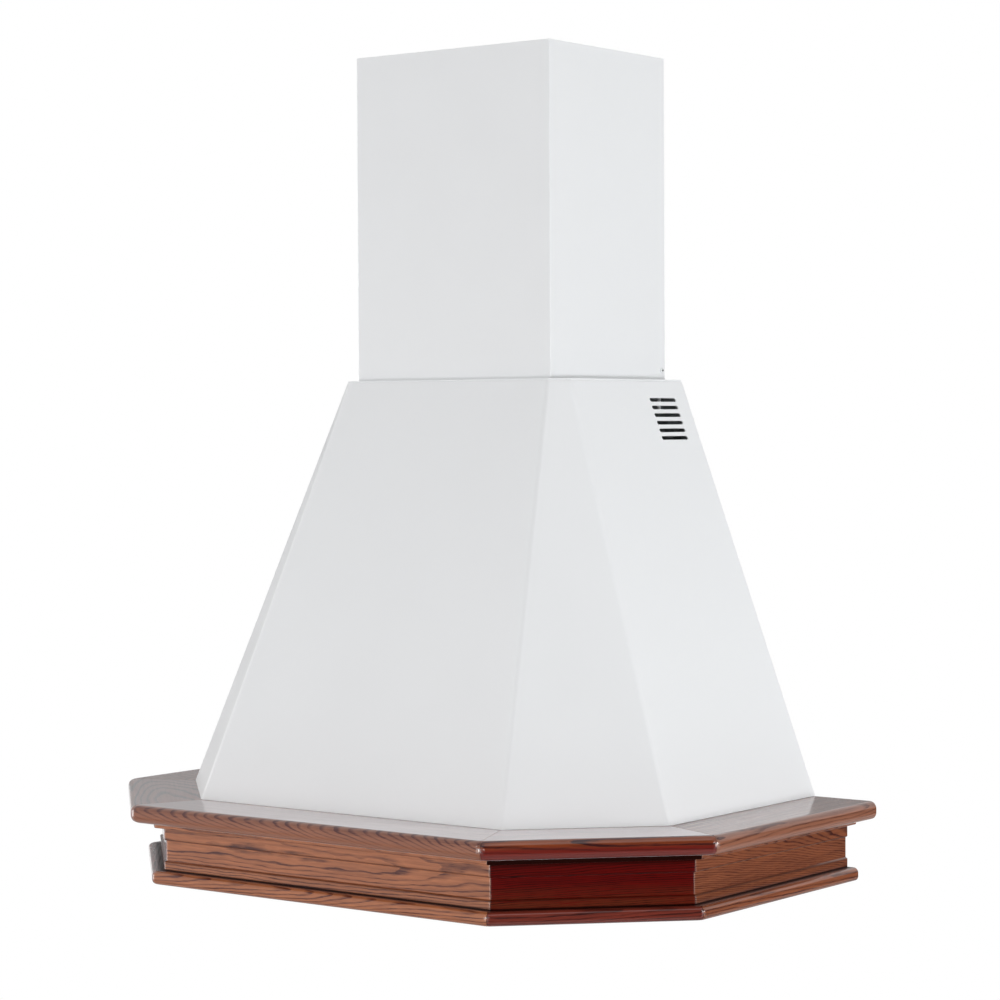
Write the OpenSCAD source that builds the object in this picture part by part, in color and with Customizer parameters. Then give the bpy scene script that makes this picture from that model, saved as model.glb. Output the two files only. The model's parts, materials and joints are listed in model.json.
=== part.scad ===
// Wall range hood: a white sheet-steel canopy and chimney on a stained timber frame.
// Millimetres. +Z is up, the wall is the plane Y = 0, and the room lies towards -Y.
// The origin is on the wall, at the middle of the hood's underside.

/* [Timber frame] */
// Width of the frame, over the shelf
frame_w = 900; // [860:10:1000]
// Depth of the frame, from the wall to the shelf's front edge
frame_d = 538; // [520:2:600]
// Length cut off each front corner, along either side
corner_cut = 187; // [170:1:200]
// Thickness of the shelf boards
shelf_t = 22; // [20:1:30]
// Width of the shelf boards
shelf_board = 105; // [102:1:120]
// Radius of the shelf's rounded edge
shelf_round = 9; // [3:0.5:9.5]
// Height of the step under the shelf
step_h = 8; // [6:1:16]
// How far the step stands back from the shelf's edge
step_set = 28; // [20:1:34]
// Height of the frieze between the step and the base rail
frieze_h = 52; // [46:1:70]
// How far the frieze stands back from the shelf's edge
frieze_set = 40; // [38:1:46]
// Thickness of the frieze boards
frieze_t = 18; // [16:1:20]
// Height of the frieze's sunk band
band_h = 27; // [16:1:30]
// Depth of the frieze's sunk band
band_depth = 2.5; // [1:0.5:4]
// Height of the plain strip under the sunk band
band_foot = 10; // [8:0.5:12]
// Slope at the sunk band's edges
band_ease = 1.5; // [0.5:0.5:3]
// Thickness of the base rail
rail_h = 16; // [14:1:22]
// How far the base rail stands back from the shelf's edge
rail_set = 25; // [20:1:34]
// Width of the base rail
rail_board = 42; // [36:1:46]
// Radius of the base rail's rounded edge
rail_round = 6; // [3:0.5:6.5]
// Thickness of the board against the wall
back_board_t = 18; // [16:1:22]
// Width of the open line at each mitre
mitre_line = 0.3; // [0.1:0.1:0.6]

/* [Canopy] */
// Height of the canopy
canopy_h = 506; // [480:2:560]
// How far the canopy's foot stands back from the shelf's edge
canopy_set = 85; // [80:1:88]
// Width of the canopy's top
top_w = 346; // [336:2:380]
// Depth of the canopy's top
top_d = 257; // [252:1:280]
// Length cut off each front corner of the canopy's top
top_cut = 20; // [12:1:30]
// Thickness of the sheet steel
sheet_t = 1.2; // [0.8:0.1:1.6]
// Width of the canopy's turned-in flanges
flange_w = 15; // [13:1:18]
// Thickness of the top plate
top_plate_t = 2; // [1.5:0.5:3]
// How far the top plate stands back from the canopy's top edge
top_plate_set = 1; // [0.5:0.5:2]

/* [Vent slots] */
// Number of slots on each side
slot_count = 6; // [3:1:8]
// Length of a slot
slot_len = 57; // [30:1:80]
// Height of a slot, along the slope
slot_h = 5; // [3:0.5:7]
// Distance between slots, along the slope
slot_pitch = 10; // [8:0.5:12]
// Distance from the wall to a slot's near end
slot_from_wall = 27; // [20:1:40]
// Distance from the canopy's top down to the first slot, along the slope
slot_drop = 25; // [20:1:40]

/* [Chimney] */
// Width of the chimney
chimney_w = 297; // [280:1:306]
// Depth of the chimney
chimney_d = 245; // [236:1:250]
// Height of the chimney
chimney_h = 402; // [300:2:600]
// Width of the chimney's turned-in back edges
chimney_lip = 12; // [8:1:16]
// Height of the lower side screws above the chimney's foot
chimney_screw_up = 12; // [9:1:18]
// Distance from the wall to the lower side screws
chimney_screw_in = 8; // [6:1:14]
// Distance from the chimney's top down to its wall bracket
bracket_drop = 20; // [10:5:60]
// Height of the chimney's wall bracket
bracket_strip = 30; // [20:2:40]

/* [Duct outlet] */
// Distance from the wall to the duct's centre
duct_from_wall = 122; // [120:1:126]
// Outside radius of the duct spigot
duct_r = 75; // [70:0.5:75]
// Height of the duct spigot
spigot_h = 60; // [50:1:70]
// Wall of the duct spigot
spigot_t = 2; // [1.5:0.5:2.5]
// Thickness of a damper flap
flap_t = 1.2; // [0.8:0.1:1.6]
// Radius of the damper's pin
damper_pin_r = 1.5; // [1:0.25:2]
// Height of the damper's pin above the foot of the spigot
damper_up = 15; // [14:1:20]

/* [Blower] */
// Height of the fan's centre above the shelf
fan_up = 200; // [185:1:210]
// Radius of the impeller
fan_r = 80; // [70:1:82]
// Width of the impeller
fan_w = 110; // [90:2:116]
// Number of impeller blades
blade_count = 36; // [24:1:40]
// Width of an impeller blade
blade_w = 10; // [7:0.5:12]
// Inside width and depth of the blower's outlet
outlet_w = 136; // [130:1:138]
// Largest inside radius of the scroll
scroll_r = 161; // [150:1:166]
// Rise of the outlet above the fan's centre
outlet_rise = 140; // [130:1:160]
// Wall of the blower's casing
case_t = 2; // [1.5:0.5:3]
// Radius of the blower's inlets
inlet_r = 62; // [56:1:64]
// Radius of the motor
motor_r = 45; // [38:1:50]
// Length of the motor
motor_len = 62; // [50:1:64]
// Radius of the motor shaft
shaft_r = 4; // [3:0.5:5]
// Thickness of the blower's brackets
bracket_t = 2; // [1.5:0.5:3]

/* [Underside] */
// Width of a filter opening
filter_w = 290; // [260:2:300]
// Length of a filter opening, front to back
filter_l = 290; // [260:2:296]
// Thickness of a grease filter
filter_t = 9; // [8:0.5:12]
// Width of a filter's frame
filter_rim = 12; // [10:1:16]
// Width of the bar between the two filters
filter_bar = 12; // [10:1:20]
// Length of a filter's pivot tabs
filter_tab = 8; // [7:0.5:10]
// Play round a filter in its opening
filter_play = 1.5; // [1:0.5:2.5]
// Height of the turned-up rim round the underside panel
panel_rim = 20; // [16:1:24]
// Radius of the lamp holes
lamp_r = 30; // [26:1:34]
// Distance from the middle to a lamp
lamp_x = 190; // [175:1:200]
// How far a lamp stands in front of the middle of the strip before the filters
lamp_forward = 2; // [0:1:8]
// Depth of a lamp housing
lamp_h = 42; // [36:1:48]

/* [Controls] */
// Number of push buttons
button_count = 5; // [5:1:5]
// Width of a push button
button_w = 18; // [14:1:19]
// Depth of a push button
button_d = 16; // [12:1:18]
// Height of a push button
button_h = 14; // [12:1:18]
// Distance between push buttons
button_pitch = 24; // [22:0.5:26]
// How far a button stands out and travels
button_travel = 3; // [2:0.5:4]
// Distance from the shelf's front edge to the row of buttons
buttons_in = 108; // [104:1:112]
// Thickness of the bezel round the buttons
bezel_t = 3; // [2:0.5:4]

/* [Wall fixing] */
// Radius of the wall screw holes
wall_hole_r = 4; // [3:0.5:5]
// Distance between the wall holes, across
wall_hole_across = 240; // [220:2:260]
// Height of the lower wall holes above the shelf
wall_hole_low = 40; // [30:1:60]
// Distance between the wall holes, up
wall_hole_up = 420; // [400:2:430]
// Radius of the holes in the chimney's wall bracket
bracket_hole_r = 3; // [2:0.5:4]
// Distance between the holes in the chimney's wall bracket
bracket_hole_across = 160; // [120:2:200]

/* [Electrical parts] */
// Width of the terminal box
box_w = 90; // [70:2:100]
// Depth of the terminal box
box_d = 46; // [40:1:52]
// Height of the terminal box
box_h = 70; // [60:2:90]
// Distance from the middle to the terminal box
box_x = 155; // [150:1:158]
// Height of the terminal box above the shelf
box_up = 130; // [100:5:160]
// Radius of the hole through the cable gland
gland_r = 3.5; // [3:0.25:4.5]
// Radius of the hole in the top plate for the cable
cable_hole_r = 8; // [6:0.5:9]
// Distance from the middle to the capacitor
capacitor_x = 205; // [180:5:225]
// Radius of the capacitor
capacitor_r = 15; // [12:0.5:18]
// Length of the capacitor
capacitor_l = 62; // [50:1:80]

/* [Hidden] */
$fn = 48;

// Names of the frame's boards from left to right, of the two hands, and of the buttons
sides = ["left_side", "left_corner", "front", "right_corner", "right_side"];
hands = ["left", "right"];
keys = ["button_off", "button_speed_1", "button_speed_2", "button_speed_3", "button_light"];

// Clearances
fit = 0.3;
slip = 0.2;
loose = 0.1;
running = 0.05;
tight = 0.02;
over = 1;
round_fn = 96;

// Heights
frieze_z = rail_h;
step_z = frieze_z + frieze_h;
shelf_z = step_z + step_h;
canopy_z = shelf_z + shelf_t;
canopy_top_z = canopy_z + canopy_h;
seat_z = canopy_top_z + top_plate_t;
fan_z = canopy_z + fan_up;

// The frame's plan: its boards, numbered from the left, meet at mitres on 45 degree turns
last_board = 4;
mitre = 22.5;
lean = tan(mitre);
frieze_in = frieze_set + frieze_t;
rail_in = rail_set + rail_board;

// Screws, bolts and nuts
screw_r = 1.6;
screw_head_r = 3.4;
screw_head_h = 1.8;
screw_grip = 13;
short_grip = 6;
side_grip = 8;
screws_on_board = [2, 1, 3, 1, 2];
bolt_r = 2.5;
bolt_head_r = 4.4;
bolt_len = 42;
nut_r = 4.6;
nut_h = 4;
bolt_x = (chimney_w + top_w) / 4;
bolt_from_wall = 33;
foot_screw_set = flange_w / 2 + 1;

// The panel under the hood
panel_set = frieze_in + 0.5;
panel_back = -(back_board_t + fit);
panel_z = rail_h;
panel_top = panel_z + sheet_t;
rim_screw_up = 2;
rim_screw_z = panel_z + panel_rim / 2 + rim_screw_up;
rear_strip = 18;
opening_rear = -(back_board_t + rear_strip);
opening_front = opening_rear - filter_l;
filter_x = (filter_bar + filter_w) / 2;

// Filters, their pivots and their latches
filter_sink = 2.5;
filter_z = panel_z - filter_sink;
filter_top = filter_z + filter_t;
filter_frame_w = filter_w - 2 * filter_play;
filter_front = opening_front + filter_play;
pivot_r = 1.5;
pivot_y = opening_rear + 2 * pivot_r;
pivot_z = panel_top + fit + pivot_r;
filter_rear = pivot_y - filter_tab;
tab_x = 80;
tab_w = 16;
tab_t = 1.4;
notch_w = tab_w + 4;
notch_d = 7;
pivot_w = notch_w + 14;
latch_block_w = 64;
latch_block_d = 40;
latch_w = 54;
latch_d = 23;
latch_t = 2;
latch_travel = 8;
latch_ledge = 5;
latch_wall = 4.8;
latch_y = filter_front + latch_wall;
latch_z = filter_z + 4;
tongue_w = 24;
grip_t = 4;

// Lamps and switch block
lamp_y = (opening_front - frame_d + frieze_in) / 2 - lamp_forward;
lamp_flange = 6;
lamp_flange_t = 2;
lamp_lip = 5;
lens_t = 2;
bulb_h = 31;
bulb_r = 20;
bulb_neck_r = 10;
bulb_neck_h = 12;
bulb_rim_h = 3;
buttons_y = buttons_in - frame_d;
bezel_end = 15;
bezel_edge = 12;
bezel_w = button_pitch * button_count + 2 * bezel_end;
bezel_d = button_d + 2 * bezel_edge;
block_end = 9;
block_edge = 7;
block_over = 14;
block_w = button_pitch * button_count + 2 * block_end;
block_d = button_d + 2 * block_edge;
block_h = button_h + block_over;
block_ledge = 3;

// Blower
duct_y = -duct_from_wall;
fan_y = duct_y + outlet_w / 2 - scroll_r;
scroll_start = 60;
scroll_small = fan_r + 10;
case_w = outlet_w / 2 + case_t;
case_top = fan_z + outlet_rise;
inlet_lip = 3;
inlet_rim = 4;
motor_face = case_w + inlet_lip;
motor_boss = 6;
disc_x = 6;
disc_t = 2;
hub_r = shaft_r + 6;
hub_h = 18;
ring_w = 12;
blade_t = 1.2;
blade_turn = 35;
plate_edge = 12;
spigot_plate = outlet_w + 2 * plate_edge;
spigot_plate_t = 2;
spigot_z = case_top + spigot_plate_t;
barrel_t = 1.5;
barrel_r = damper_pin_r + barrel_t;
flap_z = spigot_z + damper_up;
flap_gap = 2;
flap_seat = 7;
knuckle = 29;
cheek_up = 40;
cheek_h = 80;
cheek_z = fan_z + cheek_up;
cheek_foot = 28;
cheek_row_in = 15;
cheek_rows = [cheek_row_in, cheek_h - cheek_row_in];
cheek_hole_in = 20;
cheek_hole_gap = 40;
cheek_holes = [cheek_hole_in, cheek_hole_in + cheek_hole_gap];
cheek_rim = 12;
foot_hole_in = 10;
foot_hole_x = case_w + cheek_foot - foot_hole_in;

// Top plate's tabs and hole
duct_hole = duct_r + 20;
tab_plate_t = 2;
tab_plate_w = 16;
tab_plate_h = 24;
tab_out = chimney_w / 2 - sheet_t - slip;

// Chimney's wall bracket
strip_z = seat_z + chimney_h - bracket_drop - bracket_strip;
strip_t = 2;
strip_jog = 16;
strip_reach = 34;

// Electrical parts
box_z = canopy_z + box_up;
box_wall = 2;
gland_aside = 25;
gland_x = box_x - gland_aside;
gland_y = -sheet_t - box_d / 2;
gland_body_r = 6;

// An outline set in from its edge, from the wall's left round to the wall's right
function plan(w, d, cut, set, back) =
    let (h = w / 2 - set, e = d - set, k = cut - set * (2 - sqrt(2)))
    [[-h, back], [-h, k - e], [k - h, -e], [h - k, -e], [h, k - e], [h, back]];

function frame_plan(set, back = 0) = plan(frame_w, frame_d, corner_cut, set, back);

function top_plan(set, back = 0) = plan(top_w, top_d, top_cut, set, back);

// The canopy's outline at a share of its height
function canopy_plan(share, set, back) =
    let (low = frame_plan(canopy_set + set, back), high = top_plan(set, back))
    [for (i = [0:len(low) - 1]) low[i] + (high[i] - low[i]) * share];

// The canopy's half width at a height
function canopy_half(z) =
    let (foot = frame_w / 2 - canopy_set)
    foot + (top_w / 2 - foot) * (z - canopy_z) / canopy_h;

corners = frame_plan(0);
function board_len(i) = norm(corners[i + 1] - corners[i]);
function board_turn(i) =
    let (run = corners[i + 1] - corners[i]) atan2(run[1], run[0]);

// Places along a board for its screws, spread evenly between its mitres
function screw_spots(i, set) =
    let (a = i == 0 ? 0 : set * lean,
         b = board_len(i) - (i == last_board ? 0 : set * lean),
         n = screws_on_board[i])
    [for (k = [1:n]) a + (b - a) * k / (n + 1)];

// Along a board: +X from its left end, +Y inwards
module at_board(i) {
    translate([corners[i][0], corners[i][1], 0]) rotate([0, 0, board_turn(i)]) children();
}

// A section drawn as set-back and height becomes one mitred board of the frame
module board(i, width) {
    length = board_len(i);
    line = mitre_line / 2 / cos(mitre);
    a = i == 0 ? -over : line;
    b = i == last_board ? length + over : length - line;
    lean_a = i == 0 ? 0 : lean;
    lean_b = i == last_board ? 0 : lean;
    reach = width + over;
    at_board(i) intersection() {
        rotate([90, 0, 90]) linear_extrude(height = length) children();
        translate([0, 0, -over]) linear_extrude(height = canopy_z + 2 * over)
            polygon([[a - over * lean_a, -over], [b + over * lean_b, -over],
                     [b - reach * lean_b, reach], [a + reach * lean_a, reach]]);
    }
}

// A flat section with both outer edges rounded
module rounded_section(set, width, z, h, r) {
    translate([set + r, z]) square([width - r, h]);
    translate([set, z + r]) square([2 * r, h - 2 * r]);
    for (up = [r, h - r]) translate([set + r, z + up]) circle(r);
}

module foot_pilots(i) {
    at_board(i) for (x = screw_spots(i, canopy_set + foot_screw_set))
        translate([x, canopy_set + foot_screw_set, canopy_z - screw_grip])
            cylinder(r = screw_r + loose, h = screw_grip + 2 * sheet_t);
}

module rim_pilots(i) {
    at_board(i) for (x = screw_spots(i, frieze_in))
        translate([x, frieze_in - screw_grip, rim_screw_z]) rotate([-90, 0, 0])
            cylinder(r = screw_r + loose, h = screw_grip + 2 * sheet_t);
}

module shelf(i) {
    color("saddlebrown") difference() {
        board(i, shelf_board) rounded_section(0, shelf_board, shelf_z, shelf_t, shelf_round);
        foot_pilots(i);
    }
}

module frieze(i) {
    low = frieze_z + band_foot;
    high = low + band_h;
    sunk = frieze_set + band_depth;
    color("sienna") difference() {
        board(i, frieze_in) polygon([
            [frieze_in, frieze_z], [frieze_set, frieze_z], [frieze_set, low],
            [sunk, low + band_ease], [sunk, high - band_ease], [frieze_set, high],
            [frieze_set, step_z], [step_set + band_ease, step_z],
            [step_set, step_z + band_ease], [step_set, shelf_z], [frieze_in, shelf_z]]);
        rim_pilots(i);
    }
}

module rail(i) {
    color("saddlebrown")
        board(i, rail_in) rounded_section(rail_set, rail_board, 0, rail_h, rail_round);
}

module back_board() {
    low_half = frame_w / 2 - rail_in - fit;
    high_half = frame_w / 2 - shelf_board - fit;
    color("peru") difference() {
        union() {
            translate([-low_half, -back_board_t, 0])
                cube([2 * low_half, back_board_t, shelf_z - fit]);
            translate([-high_half, -back_board_t, shelf_z - over])
                cube([2 * high_half, back_board_t, shelf_t + over]);
        }
        for (x = [-lamp_x, lamp_x])
            translate([x, -back_board_t - over, rim_screw_z]) rotate([-90, 0, 0])
                cylinder(r = screw_r + loose, h = screw_grip + over);
    }
}

// A solid between two heights of the canopy, set in from its face
module canopy_loft(set, from, to, back) {
    low = [for (p = canopy_plan(from, set, back)) [p[0], p[1], canopy_z + from * canopy_h]];
    high = [for (p = canopy_plan(to, set, back)) [p[0], p[1], canopy_z + to * canopy_h]];
    n = len(low);
    polyhedron(
        points = concat(low, high),
        faces = concat(
            [[for (i = [0:n - 1]) i], [for (i = [0:n - 1]) 2 * n - 1 - i]],
            [for (i = [0:n - 1]) [i, i + n, (i + 1) % n + n, (i + 1) % n]]),
        convexity = 4);
}

module flange(outline, inner, z) {
    translate([0, 0, z]) linear_extrude(height = sheet_t) difference() {
        polygon(outline);
        polygon(inner);
    }
}

module vent_slots(side) {
    rise = atan2(frame_w / 2 - canopy_set - top_w / 2, canopy_h);
    deep = 20;
    translate([side * top_w / 2, 0, canopy_top_z]) rotate([0, -side * rise, 0])
        for (k = [0:slot_count - 1])
            translate([-deep / 2, -slot_from_wall - slot_len, -slot_drop - k * slot_pitch - slot_h / 2])
                cube([deep, slot_len, slot_h]);
}

module canopy_shell() {
    back = -sheet_t - fit;
    past = 0.02;
    color("white") difference() {
        union() {
            difference() {
                canopy_loft(0, 0, 1, 0);
                canopy_loft(sheet_t, -past, 1 + past, over);
            }
            flange(frame_plan(canopy_set + sheet_t / 2, back),
                   frame_plan(canopy_set + flange_w, over), canopy_z);
            flange(top_plan(sheet_t / 2, back), top_plan(flange_w, over), canopy_top_z - sheet_t);
        }
        for (i = [0:last_board]) foot_pilots(i);
        for (side = [-1, 1]) {
            vent_slots(side);
            translate([side * bolt_x, -bolt_from_wall, canopy_top_z - 2 * sheet_t])
                cylinder(r = bolt_r + fit, h = 4 * sheet_t);
        }
    }
}

module back_panel() {
    low = canopy_half(canopy_z) - sheet_t - fit;
    high = canopy_half(canopy_top_z) - sheet_t - fit;
    color("lightgray") difference() {
        rotate([90, 0, 0]) linear_extrude(height = sheet_t)
            polygon([[-low, canopy_z], [low, canopy_z], [high, canopy_top_z], [-high, canopy_top_z]]);
        for (x = [-1, 1], up = [0, 1])
            translate([x * wall_hole_across / 2, over, canopy_z + wall_hole_low + up * wall_hole_up])
                rotate([90, 0, 0]) cylinder(r = wall_hole_r, h = sheet_t + 2 * over);
        for (side = [-1, 1]) cheek_foot_holes(side);
    }
}

module side_screw_hole(side) {
    translate([side * tab_out - side_grip, -chimney_screw_in, seat_z + chimney_screw_up])
        rotate([0, 90, 0]) cylinder(r = screw_r + loose, h = 2 * side_grip);
}

module top_plate() {
    color("white") difference() {
        union() {
            translate([0, 0, canopy_top_z]) linear_extrude(height = top_plate_t)
                polygon(top_plan(top_plate_set));
            for (side = [0, 1]) mirror([side, 0, 0])
                translate([tab_out - tab_plate_t, -chimney_screw_in * 2 - 3, seat_z - over])
                    cube([tab_plate_t, tab_plate_w, tab_plate_h + over]);
        }
        translate([0, duct_y, canopy_top_z - over])
            cylinder(r = duct_hole, h = top_plate_t + 2 * over, $fn = round_fn);
        translate([gland_x, gland_y, canopy_top_z - over])
            cylinder(r = cable_hole_r, h = top_plate_t + 2 * over);
        for (side = [-1, 1]) {
            side_screw_hole(side);
            translate([side * bolt_x, -bolt_from_wall, canopy_top_z]) {
                translate([0, 0, -over]) cylinder(r = bolt_r + fit, h = top_plate_t + 2 * over);
                cylinder(r1 = bolt_r + fit, r2 = bolt_head_r + fit, h = top_plate_t);
            }
        }
    }
}

module chimney_cover() {
    h = chimney_w / 2;
    inner = h - sheet_t;
    lip_in = h - chimney_lip;
    color("white") difference() {
        translate([0, 0, seat_z]) linear_extrude(height = chimney_h)
            polygon([[-h, 0], [-h, -chimney_d], [h, -chimney_d], [h, 0], [lip_in, 0],
                     [lip_in, -sheet_t], [inner, -sheet_t], [inner, sheet_t - chimney_d],
                     [-inner, sheet_t - chimney_d], [-inner, -sheet_t], [-lip_in, -sheet_t], [-lip_in, 0]]);
        for (side = [-1, 1]) side_screw_hole(side);
    }
}

// A strip on the wall between the chimney's back edges, with an arm inside each of its sides
module chimney_bracket() {
    arm = tab_out;
    foot = chimney_w / 2 - chimney_lip - fit;
    half = [[foot, 0], [foot, strip_t - strip_jog], [arm, strip_t - strip_jog], [arm, -strip_reach],
            [arm - strip_t, -strip_reach], [arm - strip_t, -strip_jog], [foot - strip_t, -strip_jog],
            [foot - strip_t, -strip_t]];
    other = [for (i = [len(half) - 1:-1:0]) [-half[i][0], half[i][1]]];
    color("silver") difference() {
        translate([0, 0, strip_z]) linear_extrude(height = bracket_strip) polygon(concat(half, other));
        for (side = [-1, 1])
            translate([side * bracket_hole_across / 2, over, strip_z + bracket_strip / 2])
                rotate([90, 0, 0]) cylinder(r = bracket_hole_r, h = strip_t + 2 * over);
    }
}

// One of a pair of pieces: it is drawn on the right, and the left one is its mirror image
module pair(k) {
    mirror([1 - k, 0, 0]) children();
}

module under_panel() {
    color("white") difference() {
        translate([0, 0, panel_z]) union() {
            linear_extrude(height = sheet_t) polygon(frame_plan(panel_set, panel_back));
            linear_extrude(height = panel_rim) difference() {
                polygon(frame_plan(panel_set, panel_back));
                polygon(frame_plan(panel_set + sheet_t, panel_back - sheet_t));
            }
        }
        for (side = [-1, 1]) {
            translate([side * filter_x - filter_w / 2, opening_front, panel_z - over])
                cube([filter_w, filter_l, sheet_t + 2 * over]);
            for (tab = [-1, 1])
                translate([side * filter_x + tab * tab_x - notch_w / 2, opening_rear - over, panel_z - over])
                    cube([notch_w, notch_d, sheet_t + 2 * over]);
            translate([side * lamp_x, lamp_y, panel_z - over])
                cylinder(r = lamp_r, h = sheet_t + 2 * over);
            translate([side * lamp_x, panel_back - 2 * sheet_t, rim_screw_z]) rotate([-90, 0, 0])
                cylinder(r = screw_r + fit, h = 4 * sheet_t);
        }
        translate([block_ledge - block_w / 2, buttons_y - block_d / 2 + block_ledge, panel_z - over])
            cube([block_w - 2 * block_ledge, block_d - 2 * block_ledge, sheet_t + 2 * over]);
        for (i = [0:last_board]) rim_pilots(i);
    }
}

// A filter's frame, with a pocket at the front for its latch and two pivot tabs at the rear
module filter_frame() {
    w = filter_frame_w;
    l = filter_rear - filter_front;
    pocket_d = latch_d + latch_travel + fit;
    color("gainsboro") translate([filter_x, 0, 0]) difference() {
        union() {
            difference() {
                translate([-w / 2, filter_front, filter_z]) cube([w, l, filter_t]);
                translate([filter_rim - w / 2, filter_front + filter_rim, filter_z - over])
                    cube([w - 2 * filter_rim, l - 2 * filter_rim, filter_t + 2 * over]);
            }
            translate([-latch_block_w / 2, filter_front, filter_z])
                cube([latch_block_w, latch_block_d, filter_t]);
            for (tab = [-1, 1]) translate([tab * tab_x, 0, pivot_z]) {
                translate([-tab_w / 2, filter_rear - over, -tab_t / 2])
                    cube([tab_w, filter_tab + over, tab_t]);
                translate([-pivot_w / 2, pivot_y, 0]) rotate([0, 90, 0])
                    cylinder(r = pivot_r, h = pivot_w);
            }
        }
        translate([-latch_w / 2 - fit, latch_y, latch_z - fit])
            cube([latch_w + 2 * fit, pocket_d, latch_t + 2 * fit]);
        translate([latch_ledge - latch_w / 2, latch_y, filter_z - over])
            cube([latch_w - 2 * latch_ledge, pocket_d, latch_z - filter_z + over]);
        translate([-tongue_w / 2 - fit, filter_front - over, latch_z - fit])
            cube([tongue_w + 2 * fit, latch_wall + 2 * over, latch_t + 2 * fit]);
    }
}

module filter_mesh() {
    w = filter_frame_w - 2 * filter_rim - 2 * slip;
    l = filter_rear - filter_front - 2 * filter_rim - 2 * slip;
    color("silver") translate([filter_x, 0, 0]) difference() {
        translate([-w / 2, filter_front + filter_rim + slip, filter_z + over])
            cube([w, l, filter_t - 2 * over]);
        translate([-latch_block_w / 2 - slip, filter_front, filter_z])
            cube([latch_block_w + 2 * slip, latch_block_d + slip, filter_t]);
    }
}

// The latch stands with its tongue flush with the edge of the opening
module filter_latch() {
    grip_in = latch_ledge + over;
    color("dimgray") translate([filter_x, 0, 0]) {
        translate([-latch_w / 2, latch_y + fit, latch_z]) cube([latch_w, latch_d, latch_t]);
        translate([-tongue_w / 2, opening_front + fit, latch_z])
            cube([tongue_w, filter_play + latch_wall + fit, latch_t]);
        translate([grip_in - latch_w / 2, latch_y + fit + latch_d - grip_t, filter_z - filter_sink])
            cube([latch_w - 2 * grip_in, grip_t, latch_z + latch_t / 2 - filter_z + filter_sink]);
    }
}

module lamp_housing() {
    can = lamp_r - 0.5;
    rim = lamp_r + lamp_flange;
    lip = lamp_r - lamp_lip;
    seat = panel_z - 0.5;
    top = panel_z + lamp_h;
    color("white") translate([lamp_x, lamp_y, 0]) rotate_extrude()
        polygon([[lip, panel_z - lamp_flange_t], [rim, panel_z - lamp_flange_t], [rim, panel_z],
                 [can, panel_z], [can, top], [0, top], [0, top - sheet_t],
                 [can - sheet_t, top - sheet_t], [can - sheet_t, seat], [lip, seat]]);
}

module lamp_lens() {
    color("lightyellow") translate([lamp_x, lamp_y, panel_z - 0.5 + loose])
        cylinder(r = lamp_r - 0.5 - sheet_t - fit, h = lens_t);
}

module lamp_bulb() {
    top = panel_z + lamp_h - sheet_t - loose;
    color("lightgoldenrodyellow") translate([lamp_x, lamp_y, 0]) rotate_extrude()
        polygon([[0, top], [bulb_neck_r, top], [bulb_neck_r, top - bulb_neck_h],
                 [bulb_r, top - bulb_h + bulb_rim_h], [bulb_r, top - bulb_h], [0, top - bulb_h]]);
}

function button_x(k) = (k - (button_count - 1) / 2) * button_pitch;

module button_holes(z, h) {
    for (k = [0:button_count - 1])
        translate([button_x(k) - button_w / 2 - fit, buttons_y - button_d / 2 - fit, z])
            cube([button_w + 2 * fit, button_d + 2 * fit, h]);
}

module control_bezel() {
    color("saddlebrown") difference() {
        translate([-bezel_w / 2, buttons_y - bezel_d / 2, panel_z - bezel_t])
            cube([bezel_w, bezel_d, bezel_t]);
        button_holes(panel_z - bezel_t - over, bezel_t + 2 * over);
    }
}

module button(k) {
    color("wheat")
        translate([button_x(k) - button_w / 2, buttons_y - button_d / 2, panel_z - bezel_t - button_travel])
            cube([button_w, button_d, button_h]);
}

module switch_block() {
    pocket_top = panel_z - bezel_t + button_h + fit;
    color("dimgray") difference() {
        translate([-block_w / 2, buttons_y - block_d / 2, panel_top]) cube([block_w, block_d, block_h]);
        button_holes(panel_top - over, pocket_top - panel_top + over);
    }
}

// The scroll's outline in the Y-Z plane, from its tongue round to the outlet
function scroll(grow, start, step) = concat(
    [for (a = [start:step:360])
        let (turn = (a - scroll_start) / (360 - scroll_start),
             r = scroll_small + (scroll_r - scroll_small) * turn + grow)
        [fan_y + r * cos(a), fan_z + r * sin(a)]],
    [[duct_y + outlet_w / 2 + grow, case_top], [duct_y - outlet_w / 2 - grow, case_top]]);

// One half of the blower's casing. The outside starts 4 degrees later to thicken the tongue
module blower_case() {
    step = 4;
    color("lightgray") difference() {
        union() {
            rotate([90, 0, 90]) linear_extrude(height = case_w)
                polygon(scroll(case_t, scroll_start + step, 2 * step));
            translate([case_w, fan_y, fan_z]) rotate([0, 90, 0])
                cylinder(r = inlet_r + inlet_rim, h = inlet_lip);
        }
        translate([-over, 0, 0]) rotate([90, 0, 90]) linear_extrude(height = case_w - case_t + over)
            polygon(scroll(0, scroll_start, 2.5 * step));
        translate([-over, duct_y - outlet_w / 2, case_top - 2 * case_t])
            cube([case_w - case_t + over, outlet_w, 4 * case_t]);
        translate([0, fan_y, fan_z]) rotate([0, 90, 0]) cylinder(r = inlet_r, h = case_w + 2 * inlet_lip);
        cheek_case_holes();
    }
}

function cheek_y(in) = duct_y + outlet_w / 2 - in;

module cheek_case_holes() {
    for (in = cheek_holes, up = cheek_rows)
        translate([case_w - side_grip, cheek_y(in), cheek_z + up]) rotate([0, 90, 0])
            cylinder(r = screw_r + loose, h = 2 * side_grip);
}

module cheek_foot_holes(side) {
    for (up = cheek_rows)
        translate([side * foot_hole_x, over, cheek_z + up]) rotate([90, 0, 0])
            cylinder(r = screw_r + loose, h = side_grip);
}

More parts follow.
